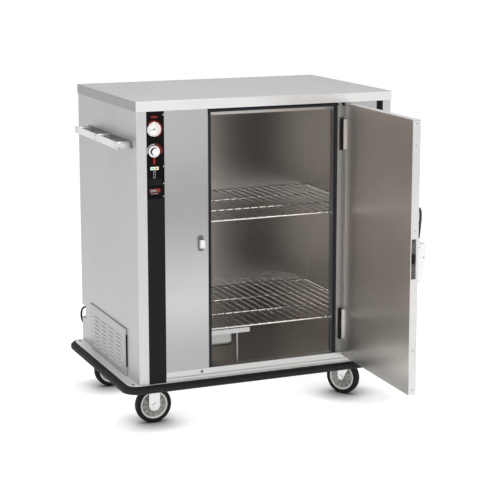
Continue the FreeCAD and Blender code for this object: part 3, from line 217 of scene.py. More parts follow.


# Each finish below: name, tint, roughness, size of grain, then how much its colour, roughness and relief
# vary. Brushed sheets have the direction of their grain instead of these last four.

# Sheet steel. The tints are painted light and shade: they differ because each sheet faces another part of
# the studio.
STEEL = brushed("brushed_steel_upright", (0.375, 0.375, 0.367), 0.34, UPRIGHT_GRAIN, 0.05)
STEEL_FRONT_LIT = brushed("brushed_steel_front_painted_light", (0.555, 0.555, 0.545), 0.34, UPRIGHT_GRAIN, 0.05)
# Painted reflections on the front sheets: lighter and darker bands up their height.
paint_light_by_height(STEEL_FRONT_LIT, [(0.30, grey(0.76)), (0.53, grey(1)), (0.93, grey(0.67)), (1.29, grey(0.86))])
STEEL_SIDE_LIT = brushed("brushed_steel_side_painted_light", (0.455, 0.455, 0.446), 0.42, DEEP_GRAIN)
STEEL_LEVEL_LIT = brushed("brushed_steel_level_painted_light", (0.53, 0.53, 0.52), 0.38, FLAT_GRAIN)
STEEL_POST_LIT = brushed("brushed_steel_post_painted_light", (0.60, 0.60, 0.59), 0.34, UPRIGHT_GRAIN)
LIT_CAP_LIP = brushed("cap_front_lip_painted_light", (0.80, 0.80, 0.79), 0.30, FLAT_GRAIN, 0.03)
SHADED_CAP_SIDE = brushed("cap_side_lip_painted_shade", (0.30, 0.30, 0.295), 0.36, DEEP_GRAIN)
DECK_LIT = brushed("deck_steel_painted_light", (0.90, 0.89, 0.88), 0.42, FLAT_GRAIN, 0.03, metallic=0.65)
# Painted shade: a darker steel for the door frame and for the insides and flanges of the push bars.
STEEL_DARK = metal("steel_in_shade", (0.42, 0.42, 0.41), 0.42, 40, 0.06, 0.06, 0.05)
STEEL_BRIGHT = metal("bright_steel", (0.70, 0.70, 0.69), 0.30, 40, 0.04, 0.06, 0.04)
# Backing strip on the wall behind the push bars, made dark as painted shade behind the bars.
BAR_STRIP_SHADE = metal("bar_backing_strip_painted_shade", (0.15, 0.15, 0.148), 0.45, 60, 0.08, 0.06, 0.06, metallic=0.9)
CASE = metal("latch_case_steel", (0.88, 0.88, 0.87), 0.40, 60, 0.03, 0.05, 0.04)
CAVITY = surface("cavity_steel", (0.50, 0.47, 0.44), 1.0, 0.30, UPRIGHT_GRAIN, 24, 0.03, 0.03, 0.01)
DOOR_INSIDE = surface("smooth_steel_inside", (0.78, 0.70, 0.63), 0.88, 0.32, UPRIGHT_GRAIN, 20, 0.02,
                      0.02, 0.01)
# Painted light and shade on the door's inside: darker and bluer at its foot, lightest just above, a little
# darker at the top.
paint_light_by_height(DOOR_INSIDE, [(0.24, (0.42, 0.45, 0.47)), (0.38, (0.95, 0.98, 1)), (0.75, grey(1)),
                              (1.29, (0.87, 0.88, 0.89))])

# Fittings.
WIRE = metal("plated_wire", (0.88, 0.87, 0.85), 0.13, 90, 0.05, 0.06, 0.05)
CHROME = metal("chrome", (0.78, 0.78, 0.78), 0.14, 60, 0.03, 0.04, 0.02)
ZINC = metal("zinc_plate", (0.80, 0.80, 0.785), 0.36, 70, 0.08, 0.1, 0.1, metallic=0.9)
HUB = metal("cast_hub_grey", (0.34, 0.335, 0.32), 0.45, 120, 0.12, 0.1, 0.2, metallic=0.35)
SCREW = metal("screw_steel", (0.20, 0.20, 0.195), 0.36, 260, 0.12, 0.08, 0.1)
SCREW_LIGHT = metal("screw_light", (0.42, 0.42, 0.41), 0.34, 260, 0.12, 0.08, 0.1)
LEVER = metal("lever_dark_grey", (0.060, 0.060, 0.061), 0.42, 250, 0.15, 0.08, 0.12, metallic=0.3)
SLOT_GREY = metal("slot_grey", (0.46, 0.46, 0.455), 0.55, 200, 0.12, 0.06, 0.1, metallic=0.2)

# Plastic, rubber, foam and print.
BLACK = dull("satin_black", grey(0.009), 0.42, 300, 0.15, 0.06, 0.12)
PANEL_BLACK = dull("panel_black", (0.006, 0.006, 0.0065), 0.32, 220, 0.15, 0.05, 0.05, PANEL_SPECULAR)
RUBBER = dull("rubber_black", grey(0.013), 0.62, 400, 0.2, 0.08, 0.25)
RUBBER_LIGHT = dull("rubber_edge_grey", grey(0.030), 0.55, 400, 0.2, 0.08, 0.25)
GASKET = dull("gasket_grey", (0.022, 0.024, 0.028), 0.50, 300, 0.15, 0.08, 0.15)
TYRE = dull("tyre_rubber", (0.012, 0.012, 0.0125), 0.58, 350, 0.2, 0.1, 0.25)
RIM = moulded("cream_rim", (0.66, 0.645, 0.61), 0.42, 120, 0.06, 0.08, 0.1)
WHITE = moulded("enamel_white", (0.90, 0.90, 0.88), 0.35, 200, 0.02, 0.05, 0.03)
FOAM = moulded("foam", (0.62, 0.55, 0.34), 0.85, 250, 0.15, 0.05, 0.3)
RED = dull("printed_red", (0.40, 0.020, 0.012), 0.40, 200, 0.08, 0.05, 0.03)
BADGE_RED = dull("badge_red", (0.24, 0.016, 0.012), 0.40, 200, 0.08, 0.05, 0.03)
LABEL_GREY = dull("label_grey", (0.040, 0.040, 0.041), 0.40, 200, 0.1, 0.05, 0.03)
LABEL_BLACK = dull("label_black", (0.018, 0.018, 0.019), 0.35, 200, 0.1, 0.05, 0.03)
PRINT_WHITE = moulded("printed_white", (0.78, 0.78, 0.77), 0.42, 200, 0.03, 0.05, 0.03)
LENS = moulded("clear_lens", grey(0.95), 0.06, 60, 0.01, 0.02, 0.01, Alpha=0.10)
GREEN_LAMP = moulded("green_lamp", (0.02, 0.62, 0.22), 0.22, 200, 0.05, 0.04, 0.02,
                     **{"Emission Color": (0.05, 0.9, 0.35, 1), "Emission Strength": LAMP_GLOW})
AMBER_LAMP = moulded("amber_lamp", (0.85, 0.16, 0.03), 0.22, 200, 0.05, 0.04, 0.02,
                     **{"Emission Color": (1.0, 0.22, 0.04, 1), "Emission Strength": LAMP_GLOW})

# The lit and shaded steel copies here paint light and shade onto whole sheets and onto the door frame.
NODE_MATERIALS = {
    STEEL: ["right_side_panel", "back_panel", "hinge_frame_leaves", "heater_shroud", "vent_cover"],
    STEEL_FRONT_LIT: ["left_front_panel", "right_front_panel"],
    STEEL_SIDE_LIT: ["left_side_panel"],
    STEEL_LEVEL_LIT: ["cap", "heater_cover"],
    STEEL_POST_LIT: ["sill_rail"],
    STEEL_DARK: ["door_frame"],
    SLOT_GREY: ["door_core"],
    STEEL_BRIGHT: ["push_bars", "door_outer_skin", "hinge_door_leaves", "bar_standoffs"],
    CASE: ["latch_case"],
    DECK_LIT: ["base_deck"],
    DOOR_INSIDE: ["door_inner_skin"],
    CAVITY: ["liner_walls", "liner_back", "liner_ceiling", "liner_floor", "shelf_supports"],
    BLACK: ["control_strip", "right_trim_strip", "switch_housing", "switch_rocker", "latch_bolt"],
    PANEL_BLACK: ["control_panel"],
    RUBBER: ["bumper", "cord_gland", "cord_plug"],
    GASKET: ["door_gasket"],
    ZINC: ["rigid_forks", "swivel_plates", "front_swivel_fork", "rear_swivel_fork", "front_brake_pedal",
           "rear_brake_pedal"],
    WHITE: ["thermostat_knob", "indicator_bezel"],
    CHROME: ["keeper", "thermometer_case"],
    SCREW: ["screws"],
    LENS: ["thermometer_lens"],
    LEVER: ["latch_lever", "thermometer_needle", "heating_element"],
    FOAM: ["insulation"],
}
# Widths of the rounded edges, in millimetres.
SOFTENED = {"cap": 1.6, "left_side_panel": 0.5, "right_side_panel": 0.5, "left_front_panel": 0.5,
            "right_front_panel": 0.5, "sill_rail": 1.0, "base_deck": 1.0, "push_bars": 0.8,
            "door_outer_skin": 0.6, "heater_cover": 0.6, "heater_shroud": 0.6, "latch_case": 1.0,
            "latch_lever": 1.0, "rigid_forks": 0.8, "front_swivel_fork": 0.8, "rear_swivel_fork": 0.8,
            "front_brake_pedal": 0.8, "rear_brake_pedal": 0.8, "keeper": 0.6, "vent_cover": 0.4,
            "bar_standoffs": 1.0, "indicator_bezel": 0.5, "switch_housing": 0.6, "control_strip": 0.5,
            "right_trim_strip": 0.5, "thermostat_knob": 0.6, "cord_plug": 0.8, "switch_rocker": 0.8}
SHARP_EDGE = math.radians(40)
WELD_DISTANCE = 0.02 * MM


def dress_cad_nodes():
    for material, names in NODE_MATERIALS.items():
        for name in names:
            mesh = nodes[name].data
            mesh.materials.clear()
            mesh.materials.append(material)
    for name, width in SOFTENED.items():
        weld = nodes[name].modifiers.new("weld", "WELD")
        weld.merge_threshold = WELD_DISTANCE
        bevel = nodes[name].modifiers.new("soft_edges", "BEVEL")
        bevel.width = width * MM
        bevel.segments = 2
        bevel.limit_method = "ANGLE"
        bevel.angle_limit = SHARP_EDGE
        bevel.use_clamp_overlap = True


def paint_faces(name, material, wanted):
    """Gives a second material to the faces that the test picks by their middle and direction."""
    piece = nodes[name]
    mesh = piece.data
    mesh.materials.append(material)
    turn = piece.matrix_world.to_3x3()
    for face in mesh.polygons:
        if wanted(piece.matrix_world @ face.center, turn @ face.normal):
            face.material_index = len(mesh.materials) - 1


# A face looks along an axis when its normal has more than this part along it.
FACING = 0.7
FULLY_FACING = 0.9
BAR_INSIDE = -0.3
FLANGE_HEIGHT = 10 * MM
PLATE_DEPTH = 2.7 * MM
LOUVRE_DEPTH = 4.5 * MM
BARREL_RADIUS = 6.4 * MM


def paint_sheets():
    """Painted light and shade: front lips, the cap's side, posts, the door's outside and the louvre tops
    get tints for another light than the rest of their sheets.
    """
    # Painted light on the cap's front lip, painted shade on its left side, painted light on the posts'
    # fronts.
    paint_faces("cap", LIT_CAP_LIP, lambda middle, normal: normal.y < -FACING)
    paint_faces("cap", SHADED_CAP_SIDE, lambda middle, normal: normal.x < -FACING)
    for name in ("left_side_panel", "right_side_panel"):
        paint_faces(name, STEEL_POST_LIT, lambda middle, normal: normal.y < -FACING)
    # Painted light: the door's outer face takes the lit front steel.
    paint_faces("door_outer_skin", STEEL_FRONT_LIT, lambda middle, normal: normal.x > FULLY_FACING)
    # Painted highlights: the upward tops of the vent's louvres get a lighter steel.
    louvre_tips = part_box("vent_cover")[0][0]
    paint_faces("vent_cover", STEEL_SIDE_LIT,
                lambda middle, normal: middle.x < louvre_tips + LOUVRE_DEPTH and normal.z > 0)


def paint_push_bars():
    """The inside and the flange of each bar are painted darker as shade, and its backing strip is dark as
    painted shade behind the bar.
    """
    flange_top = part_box("push_bars")[0][2] + FLANGE_HEIGHT
    strip_face = SHELL_HIGH.x + 1 * MM
    # Painted shade on the bars' insides and flanges, and on the dark backing strip behind them.
    paint_faces("push_bars", STEEL_DARK, lambda middle, normal: normal.x * middle.x < BAR_INSIDE or
                (normal.z > FACING and middle.z < flange_top))
    paint_faces("bar_standoffs", BAR_STRIP_SHADE, lambda middle, normal: abs(middle.x) < strip_face)


def paint_fittings():
    """Bright panel screws, a keeper plate painted dark as shade, a black-sided knob and black hinge
    barrels.
    """
    panel_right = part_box("control_panel")[1][0]
    inside_wall = SHELL_LOW.x + 10 * MM
    hinge = Vector(joints["door_hinge"]["pos_m"])
    paint_faces("screws", CHROME,
                lambda middle, normal: inside_wall < middle.x < panel_right and middle.y < FRONT)
    # Painted shade: the keeper's plate is made dark for the shade round the keeper.
    paint_faces("keeper", SCREW, lambda middle, normal: middle.y > FRONT - PLATE_DEPTH)
    paint_faces("thermostat_knob", BLACK, lambda middle, normal: abs(normal.y) < FACING)
    for name in ("hinge_frame_leaves", "hinge_door_leaves"):
        paint_faces(name, BLACK, lambda middle, normal: (middle - hinge).xy.length < BARREL_RADIUS)


# ---------------------------------------------------------------- mesh helpers

CORNER_ANGLE = math.radians(30)
TOUCHING = 1e-6


def finish_mesh(name, mesh_data, material, body, smooth_angle=35):
    mesh = bpy.data.meshes.new(name)
    mesh_data.to_mesh(mesh)
    mesh_data.free()
    piece = bpy.data.objects.new(name, mesh)
    bpy.context.scene.collection.objects.link(piece)
    mesh.materials.append(material)
    mesh.shade_smooth()
    mesh.set_sharp_from_angle(angle=math.radians(smooth_angle))
    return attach(piece, body)


def lathe(profile, segments=72, sweep=360.0, start=0.0):
    """Solid of revolution about Z of a closed half outline given as (radius, height) in millimetres."""
    data = bmesh.new()
    steps = segments if sweep == 360 else segments + 1
    rings = []
    for step in range(steps):
        angle = math.radians(start + sweep * step / segments)
        across = math.cos(angle) * MM
        along = math.sin(angle) * MM
        rings.append([data.verts.new((radius * across, radius * along, height * MM))
                      for radius, height in profile])
    count = len(profile)
    for step in range(segments):
        here = rings[step]
        there = rings[(step + 1) % steps]
        for point in range(count):
            following = (point + 1) % count
            data.faces.new((here[point], there[point], there[following], here[following]))
    if sweep != 360:
        data.faces.new(rings[0])
        data.faces.new(list(reversed(rings[-1])))
    bmesh.ops.remove_doubles(data, verts=data.verts, dist=TOUCHING)
    bmesh.ops.recalc_face_normals(data, faces=data.faces)
    return data


def add_block(data, low, high, turn=NOWHERE):
    """Adds a box between two corners in millimetres to a mesh under construction."""
    low = Vector(low) * MM
    high = Vector(high) * MM
    size = high - low
    matrix = turn @ Matrix.Translation((low + high) / 2) @ Matrix.Diagonal((*size, 1))
    bmesh.ops.create_cube(data, size=1.0, matrix=matrix)


def bevel_all(data, width, segments=2):
    """Rounds every corner by a width in millimetres."""
    edges = [edge for edge in data.edges if edge.calc_face_angle(0) > CORNER_ANGLE]
    bmesh.ops.bevel(data, geom=edges, offset=width * MM, segments=segments, affect="EDGES",
                    clamp_overlap=True)


def merge(data, other):
    """Moves another mesh under construction into this one."""
    temporary = bpy.data.meshes.new("temporary")
    other.to_mesh(temporary)
    other.free()
    data.from_mesh(temporary)
    bpy.data.meshes.remove(temporary)


def facing(axis):
    """Rotation that takes +Z to the given direction."""
    return Vector((0, 0, 1)).rotation_difference(Vector(axis)).to_matrix().to_4x4()


def joint_frame(name):
    joint = joints[name]
    return Matrix.Translation(joint["pos_m"]) @ facing(joint["axis"])


# ---------------------------------------------------------------- camera, floor and light

# The camera's place is measured from the middle of the cabinet's plan, on the floor.
CAMERA_PLACE = (-2.4829, -6.0381, 2.0018)
LOOKING_DOWN = 10.33
HEADING = -23.09
FOCAL_LENGTH = 110.5
SENSOR_WIDTH = 36
CAMERA_SHIFT = (-0.0018, -0.0813)
FLOOR_HALF = 200
FLOOR_GREY = 0.52
FLOOR_GLOW = 0.66
SHADE_REACH = 0.15
SHADE_POWER = 4.6
SHADE_SAMPLES = 16
SKY_LOW = (1.05, 1.05, 1.05)
SKY_HIGH = (0.62, 0.62, 0.63)
# Each soft light: name, place, the point it looks at, its two sides and its power in watts.
SOFTBOXES = [
    ("front_softbox", (-1.6, -4.2, 3.6), (0, 0.2, 0.6), (2.0, 1.4), 60),
    ("side_softbox", (-4.4, 0.8, 2.6), (-0.5, 0.3, 0.6), (1.4, 2.0), 40),
    ("top_softbox", (0.3, 0.6, 4.2), (0, 0.3, 1.3), (2.2, 2.2), 60),
]


def make_camera():
    camera = bpy.data.objects.new("camera", bpy.data.cameras.new("camera"))
    bpy.context.scene.collection.objects.link(camera)
    camera.location = Vector(CAMERA_PLACE) + Vector((0, PLAN_CENTRE, 0))
    camera.rotation_euler = (math.radians(90 - LOOKING_DOWN), 0, math.radians(HEADING))
    camera.data.lens = FOCAL_LENGTH
    camera.data.sensor_width = SENSOR_WIDTH
    camera.data.shift_x, camera.data.shift_y = CAMERA_SHIFT
    camera.data.clip_end = 100
    bpy.context.scene.camera = camera


def area_light(name, place, target, size, power):
    light = bpy.data.lights.new(name, "AREA")
    light.shape = "RECTANGLE"
    light.size, light.size_y = size
    light.energy = power
    lamp = bpy.data.objects.new(name, light)
    bpy.context.scene.collection.objects.link(lamp)
    lamp.location = place
    direction = Vector(target) - Vector(place)
    lamp.rotation_euler = direction.to_track_quat("-Z", "Y").to_euler()


def contact_shade(paper):
    """The lit paper floor glows, except close under whatever stands on it."""
    tree = paper.node_tree
    shader = tree.nodes["Principled BSDF"]
    ground = shader.inputs["Base Color"]
    near = tree.nodes.new("ShaderNodeAmbientOcclusion")
    near.samples = SHADE_SAMPLES
    near.inputs["Distance"].default_value = SHADE_REACH
    tree.links.new(ground.links[0].from_socket, near.inputs["Color"])
    tree.links.new(near.outputs["Color"], ground)
    deeper = math_node(tree, "POWER", near.outputs["AO"], SHADE_POWER)
    glow = math_node(tree, "MULTIPLY", deeper.outputs["Value"], FLOOR_GLOW)
    tree.links.new(glow.outputs["Value"], shader.inputs["Emission Strength"])


def make_floor():
    data = bmesh.new()
    bmesh.ops.create_grid(data, x_segments=1, y_segments=1, size=FLOOR_HALF)
    paper = surface("studio_floor", grey(FLOOR_GREY), 0.0, 0.9, EVEN_GRAIN, 3, 0.004, 0.02, 0.0,
                    cloud_share=0.0, **{"Emission Color": (1, 1, 1, 1)})
    contact_shade(paper)
    floor = finish_mesh("floor", data, paper, "cabinet")
    floor.parent = None


def make_sky():
    """Bright near the floor and dimmer above, as in a studio tent."""
    world = bpy.data.worlds.new("studio")
    world.use_nodes = True
    bpy.context.scene.world = world
    tree = world.node_tree
    place = tree.nodes.new("ShaderNodeTexCoord")
    split = tree.nodes.new("ShaderNodeSeparateXYZ")
    ramp = ramp_node(tree, SKY_LOW, SKY_HIGH, 0.05, 0.40)
    tree.links.new(place.outputs["Generated"], split.inputs["Vector"])
    tree.links.new(split.outputs["Z"], ramp.inputs["Fac"])
    tree.links.new(ramp.outputs["Color"], tree.nodes["Background"].inputs["Color"])


def make_stage():
    bpy.context.scene.view_settings.view_transform = "Standard"
    make_floor()
    make_sky()
    for name, place, target, size, power in SOFTBOXES:
        area_light(name, place, target, size, power)


# ---------------------------------------------------------------- cord

CORD_DIAMETER = 0.009
# The route's corners, in millimetres from the middle of the cabinet's plan.
CORD_ROUTE = [(-533, 370, 334), (-533, 404, 335.5), (-535, 442, 331), (-538, 474, 312), (-538, 490, 280),
              (-531, 484, 246), (-510, 466, 219), (-477, 450, 198), (-438, 443, 174), (-398, 443, 147),
              (-359, 448, 116), (-322, 455, 84), (-284, 464, 52), (-242, 476, 25), (-198, 490, 8),
              (-153, 505, 4.5), (-114, 524, 4.5)]
# The coil of put-away cord, in the same millimetres: first inwards on the floor, then outwards on top.
COIL_CENTRE = (-143, 583)
COIL_OUTER = 65.8
COIL_PITCH = 9.2
TURNS_DOWN = 3.0
TURN_UP = 0.5
COIL_TURNS = 6.178
COIL_START = math.radians(-64)
POINTS_A_TURN = 16
LOWER_LAYER = 4.5
UPPER_LAYER = 13.8
# The straight end towards the plug: distance back from the coil, and height.
CORD_TAIL = ((14, 13.4), (34, 13))


def coil_ring(turns):
    """Radius and height of the coil after this many turns."""
    inner = COIL_OUTER - COIL_PITCH * TURNS_DOWN
    if turns <= TURNS_DOWN:
        return COIL_OUTER - COIL_PITCH * turns, LOWER_LAYER
    if turns <= TURNS_DOWN + TURN_UP:
        climbed = (turns - TURNS_DOWN) / TURN_UP
        return inner, LOWER_LAYER + (UPPER_LAYER - LOWER_LAYER) * climbed
    return inner + COIL_PITCH * (turns - TURNS_DOWN - TURN_UP), UPPER_LAYER


def coil_points():
    points = []
    total = round(COIL_TURNS * POINTS_A_TURN)
    for step in range(1, total + 1):
        turns = COIL_TURNS * step / total
        radius, level = coil_ring(turns)
        angle = COIL_START + turns * 2 * math.pi
        points.append((COIL_CENTRE[0] + radius * math.cos(angle),
                       COIL_CENTRE[1] + radius * math.sin(angle), level))
    last = points[-1]
    return points + [(last[0], last[1] + back, level) for back, level in CORD_TAIL]


def make_cord():
    curve = bpy.data.curves.new("power_cord", "CURVE")
    curve.dimensions = "3D"
    curve.bevel_depth = CORD_DIAMETER / 2
    curve.bevel_resolution = 6
    curve.resolution_u = 8
    curve.use_fill_caps = True
    points = [Vector((x * MM, y * MM + PLAN_CENTRE, z * MM)) for x, y, z in CORD_ROUTE + coil_points()]
    spline = curve.splines.new("NURBS")
    spline.points.add(len(points) - 1)
    for control, point in zip(spline.points, points):
        control.co = (*point, 1)
    spline.order_u = 3
    spline.use_endpoint_u = True
    cord = bpy.data.objects.new("power_cord", curve)
    bpy.context.scene.collection.objects.link(cord)
    curve.materials.append(RUBBER)
    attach(cord, "cabinet")
    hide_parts("cord", "cord_coil")


# ---------------------------------------------------------------- wheels

# Each wheel's body, with the joint it spins on.
WHEEL_BODIES = {
    "left_front_wheel": "left_front_wheel_spin", "left_rear_wheel": "left_rear_wheel_spin",
    "right_front_wheel": "right_front_wheel_spin", "right_rear_wheel": "right_rear_wheel_spin",
}
# Half sections of a wheel: radius and distance along the axle, in millimetres.
TYRE_OUTLINE = [(57.5, -13.5), (60, -15.2), (64, -16), (70, -15.7), (73.6, -14.2), (75.5, -11.5),
                (76.2, -7.5), (76.2, 7.5), (75.5, 11.5), (73.6, 14.2), (70, 15.7), (64, 16), (60, 15.2),
                (57.5, 13.5)]
RIM_OUTLINE = [(50.5, -11), (51.5, -14), (54, -15.8), (57, -15.8), (58.2, -14), (58.2, 14), (57, 15.8),
               (54, 15.8), (51.5, 14), (50.5, 11)]
HUB_OUTLINE = [(5.3, -15.5), (13, -15.5), (15.5, -14), (16.5, -9), (20, -6), (46, -4.5), (51.5, -8.5),
               (51.5, 8.5), (46, 4.5), (20, 6), (16.5, 9), (15.5, 14), (13, 15.5), (5.3, 15.5)]
RIB_COUNT = 12
RIB_LOW = (14, -1.8, -11)
RIB_HIGH = (52, 1.8, 11)


def ribbed_hub():
    hub = lathe(HUB_OUTLINE, 72)
    for number in range(RIB_COUNT):
        turn = Matrix.Rotation(2 * math.pi * number / RIB_COUNT, 4, "Z")
        rib = bmesh.new()
        add_block(rib, RIB_LOW, RIB_HIGH, turn)
        bevel_all(rib, 0.9)
        merge(hub, rib)
    return hub


def make_wheels():
    for body, joint in WHEEL_BODIES.items():
        wheel = (("tyre", lathe(TYRE_OUTLINE, 96), TYRE), ("rim", lathe(RIM_OUTLINE, 96), RIM),
                 ("hub", ribbed_hub(), HUB))
        for part, data, material in wheel:
            data.transform(joint_frame(joint))
            piece = finish_mesh(f"{body}_{part}", data, material, body, 40)
            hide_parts(body)


# ---------------------------------------------------------------- shelves

ROD_RADIUS = 4 * MM
WIRE_RADIUS = 2.5 * MM
WIRE_PITCH = 38 * MM
SHELF_CORNER = 14 * MM
# The wires' turned-down tips: distance in from the shelf's edge, and drop.
WIRE_TIP = ((0.4 * MM, 3.5 * MM), (1.2 * MM, 0.6 * MM), (4 * MM, 0))


def add_path(curve, points, thickness=1.0, closed=False):
    spline = curve.splines.new("POLY")
    spline.points.add(len(points) - 1)
    for control, point in zip(spline.points, points):
        control.co = (*point, 1)
        control.radius = thickness
    spline.use_cyclic_u = closed


def rounded_loop(low, high, level, radius, steps=6):
    """Points round a level rectangle with rounded corners."""
    corners = [((high[0] - radius, low[1] + radius), -90), ((high[0] - radius, high[1] - radius), 0),
               ((low[0] + radius, high[1] - radius), 90), ((low[0] + radius, low[1] + radius), 180)]
    points = []
    for (x, y), start in corners:
        for step in range(steps + 1):
            angle = math.radians(start + 90 * step / steps)
            points.append((x + radius * math.cos(angle), y + radius * math.sin(angle), level))
    return points


def add_frame(curve, low, high):
    """A closed rod with rounded corners and two stiffening rods across it."""
    level = low.z + ROD_RADIUS
    frame_low = (low.x + ROD_RADIUS, low.y + ROD_RADIUS + 1 * MM)
    frame_high = (high.x - ROD_RADIUS, high.y - ROD_RADIUS - 1 * MM)
    add_path(curve, rounded_loop(frame_low, frame_high, level, SHELF_CORNER), closed=True)
    for share in (0.33, 0.67):
        y = frame_low[1] + (frame_high[1] - frame_low[1]) * share
        add_path(curve, [(frame_low[0], y, level), (frame_high[0], y, level)])


def add_wires(curve, low, high):
    """Wires from front to back, whose tips turn down over the frame."""
    count = int((high.x - low.x - 2 * ROD_RADIUS - 6 * MM) / WIRE_PITCH)
    first = (low.x + high.x - (count - 1) * WIRE_PITCH) / 2
    top = high.z - WIRE_RADIUS
    front = low.y + WIRE_RADIUS
    back = high.y - WIRE_RADIUS
    for number in range(count):
        x = first + number * WIRE_PITCH
        points = [(x, front + inward, top - drop) for inward, drop in WIRE_TIP]
        points += [(x, back - inward, top - drop) for inward, drop in reversed(WIRE_TIP)]
        add_path(curve, points, WIRE_RADIUS / ROD_RADIUS)


def make_shelf(node):
    low, high = (Vector(corner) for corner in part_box(node))
    curve = bpy.data.curves.new(node + "_wires", "CURVE")
    curve.dimensions = "3D"
    curve.bevel_depth = ROD_RADIUS
    curve.bevel_resolution = 5
    curve.use_fill_caps = True
    add_frame(curve, low, high)
    add_wires(curve, low, high)
    shelf = bpy.data.objects.new(node + "_wires", curve)
    bpy.context.scene.collection.objects.link(shelf)
    curve.materials.append(WIRE)
    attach(shelf, "cabinet")
    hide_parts(node)


# ---------------------------------------------------------------- bumper

BUMPER_WIDTH = 22
BUMPER_CORNER = 45
BUMPER_RIBS = 4
RIBS_BELOW_TOP = 9.2
RIBS_ABOVE_FOOT = 5


def rounded_path(half_width, half_depth, radius, steps=10):
    """Points round a rectangle with rounded corners, each with the direction that faces out."""
    points = []
    for (sx, sy), start in (((1, -1), -90), ((1, 1), 0), ((-1, 1), 90), ((-1, -1), 180)):
        for step in range(steps + 1):
            angle = math.radians(start + 90 * step / steps)
            outward = Vector((math.cos(angle), math.sin(angle), 0))
            corner = Vector((sx * (half_width - radius), sy * (half_depth - radius), 0))
            points.append((corner + outward * radius, outward))
    return points


def bumper_outline(height):
    """Section of the bumper: millimetres out from the deck's edge and up."""
    outline = [(0, height), (8, height), (15, height - 3), (19.5, height - 8.5),
               (20.6, height - RIBS_BELOW_TOP)]
    pitch = (height - RIBS_BELOW_TOP - RIBS_ABOVE_FOOT) / BUMPER_RIBS
    for number in range(BUMPER_RIBS):
        top = height - RIBS_BELOW_TOP - number * pitch
        outline += [(21.9, top - 0.8), (BUMPER_WIDTH, top - pitch * 0.5)]
        outline += [(21.9, top - pitch + 1.6), (20.9, top - pitch + 0.6)]
    return outline + [(19, 1.2), (15, 0), (0, 0)]


def make_bumper():
    """Extruded rubber bumper: sloping top, ribbed outer face and a turned-in lower edge."""
    low, high = (Vector(corner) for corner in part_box("bumper"))
    centre = (low + high) / 2
    half_width = (high.x - low.x) / 2 / MM - BUMPER_WIDTH
    half_depth = (high.y - low.y) / 2 / MM - BUMPER_WIDTH
    outline = bumper_outline((high.z - low.z) / MM)
    data = bmesh.new()
    rings = []
    for point, outward in rounded_path(half_width, half_depth, BUMPER_CORNER):
        rings.append([data.verts.new((point + outward * out) * MM + Vector((0, 0, up * MM)))
                      for out, up in outline])
    for number, here in enumerate(rings):
        there = rings[(number + 1) % len(rings)]
        for point in range(len(outline)):
            following = (point + 1) % len(outline)
            data.faces.new((here[point], there[point], there[following], here[following]))
    bmesh.ops.recalc_face_normals(data, faces=data.faces)
    data.transform(Matrix.Translation((centre.x, centre.y, low.z)))
    piece = finish_mesh("bumper_ribbed", data, RUBBER, "cabinet", 25)
    piece.data.materials.append(RUBBER_LIGHT)
    for face in piece.data.polygons:
        if -0.9 < face.normal.z < 0.35:
            face.material_index = 1
    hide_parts("bumper")


# ---------------------------------------------------------------- control panel

DIAL_MARKS = 28
DIAL_SWEEP = 270
KNOB_MARKS = 11
KNOB_SWEEP = 236
# Half width and inner radius of a mark on the dial, and where all of them end.
LONG_MARK = (0.45, 18.4)
SHORT_MARK = (0.3, 19.8)
MARKS_END = 22.2
# The red arcs beside the knob, in degrees.
ARC_COUNT = 4
ARC_START = 74
ARC_PITCH = 24
ARC_SWEEP = 20
# Half sections of round parts on the panel: radius and height over its face, in millimetres.
DIAL_DISC = [(0, 0.5), (24.6, 0.5), (24.6, 0.9), (0, 0.9)]
KNOB_SKIRT = [(15.2, -0.2), (23.6, -0.2), (23.6, 0.5), (22.9, 0.8), (15.9, 0.8), (15.2, 0.5)]
KNOB_COLLAR = [(5, -0.2), (15.2, -0.2), (15.2, 0.4), (14.6, 0.6), (5, 0.6)]
# Middles of the panel's prints, in metres over the floor.
BADGE_HEIGHT = 1.2795
RED_BAR_HEIGHT = 1.1045
THIN_FRAME_HEIGHT = 1.034
PLATE_HEIGHT = 0.987
# The prints' left, lower, right and upper edges, in millimetres from those middles.
BADGE = [(-13, -4.5, 13, 4.5)]
RED_BAR = [(-4.0, -11.5, 3.0, 12.5)]
THIN_FRAME = [(-4.2, 4, -3.4, 30), (3.4, 4, 4.2, 30), (-4.2, 30, 4.2, 30.8), (-4.2, 3.2, 4.2, 4)]
PLATE = [(-24, -6.5, 24, 6.0)]
PLATE_BLOCK = [(11, -5.5, 23, 6.0)]
PLATE_EDGES = [(-24, 6.6, 24, 7.6), (-24, -8.2, 24, -7.2)]
PLATE_LINES = [(-20, 2.4, 9, 3.4), (-17, -0.8, 8, 0.2), (-20, -4.2, 10, -3.4), (-17, -13, 15, -12.0)]
SWITCH_FRAME = [(-26, 13, 26, 13.8), (-26, -13.8, 26, -13), (-26.8, -13, -26, 13), (26, -13, 26.8, 13)]


def panel_point(height, proud):
    """A place on the panel's centre line: metres up, and millimetres in front of its face."""
    low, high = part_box("thermometer_case")
    return Vector(((low[0] + high[0]) / 2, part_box("control_panel")[0][1] - proud * MM, height))


def printed(name, data, material, centre_z, proud=0.15):
    """Thin printed shape on the panel, drawn in the XY plane with +Z towards the viewer."""
    turn = Matrix.Rotation(math.radians(90), 4, "X")
    data.transform(Matrix.Translation(panel_point(centre_z, proud)) @ turn)
    piece = finish_mesh(name, data, material, "cabinet")


def annulus(inner, outer, start, sweep, thickness=0.2):
    """Flat part of a ring, from an angle and over an angle in degrees."""
    steps = max(8, int(abs(sweep) / 4))
    return lathe([(inner, -thickness), (outer, -thickness), (outer, 0), (inner, 0)], steps, sweep, start)


def rectangles(outlines, back, front):
    """Flat blocks, each from its left, lower, right and upper edge in millimetres."""
    data = bmesh.new()
    for left, lower, right, upper in outlines:
        add_block(data, (left, lower, back), (right, upper, front))
    return data


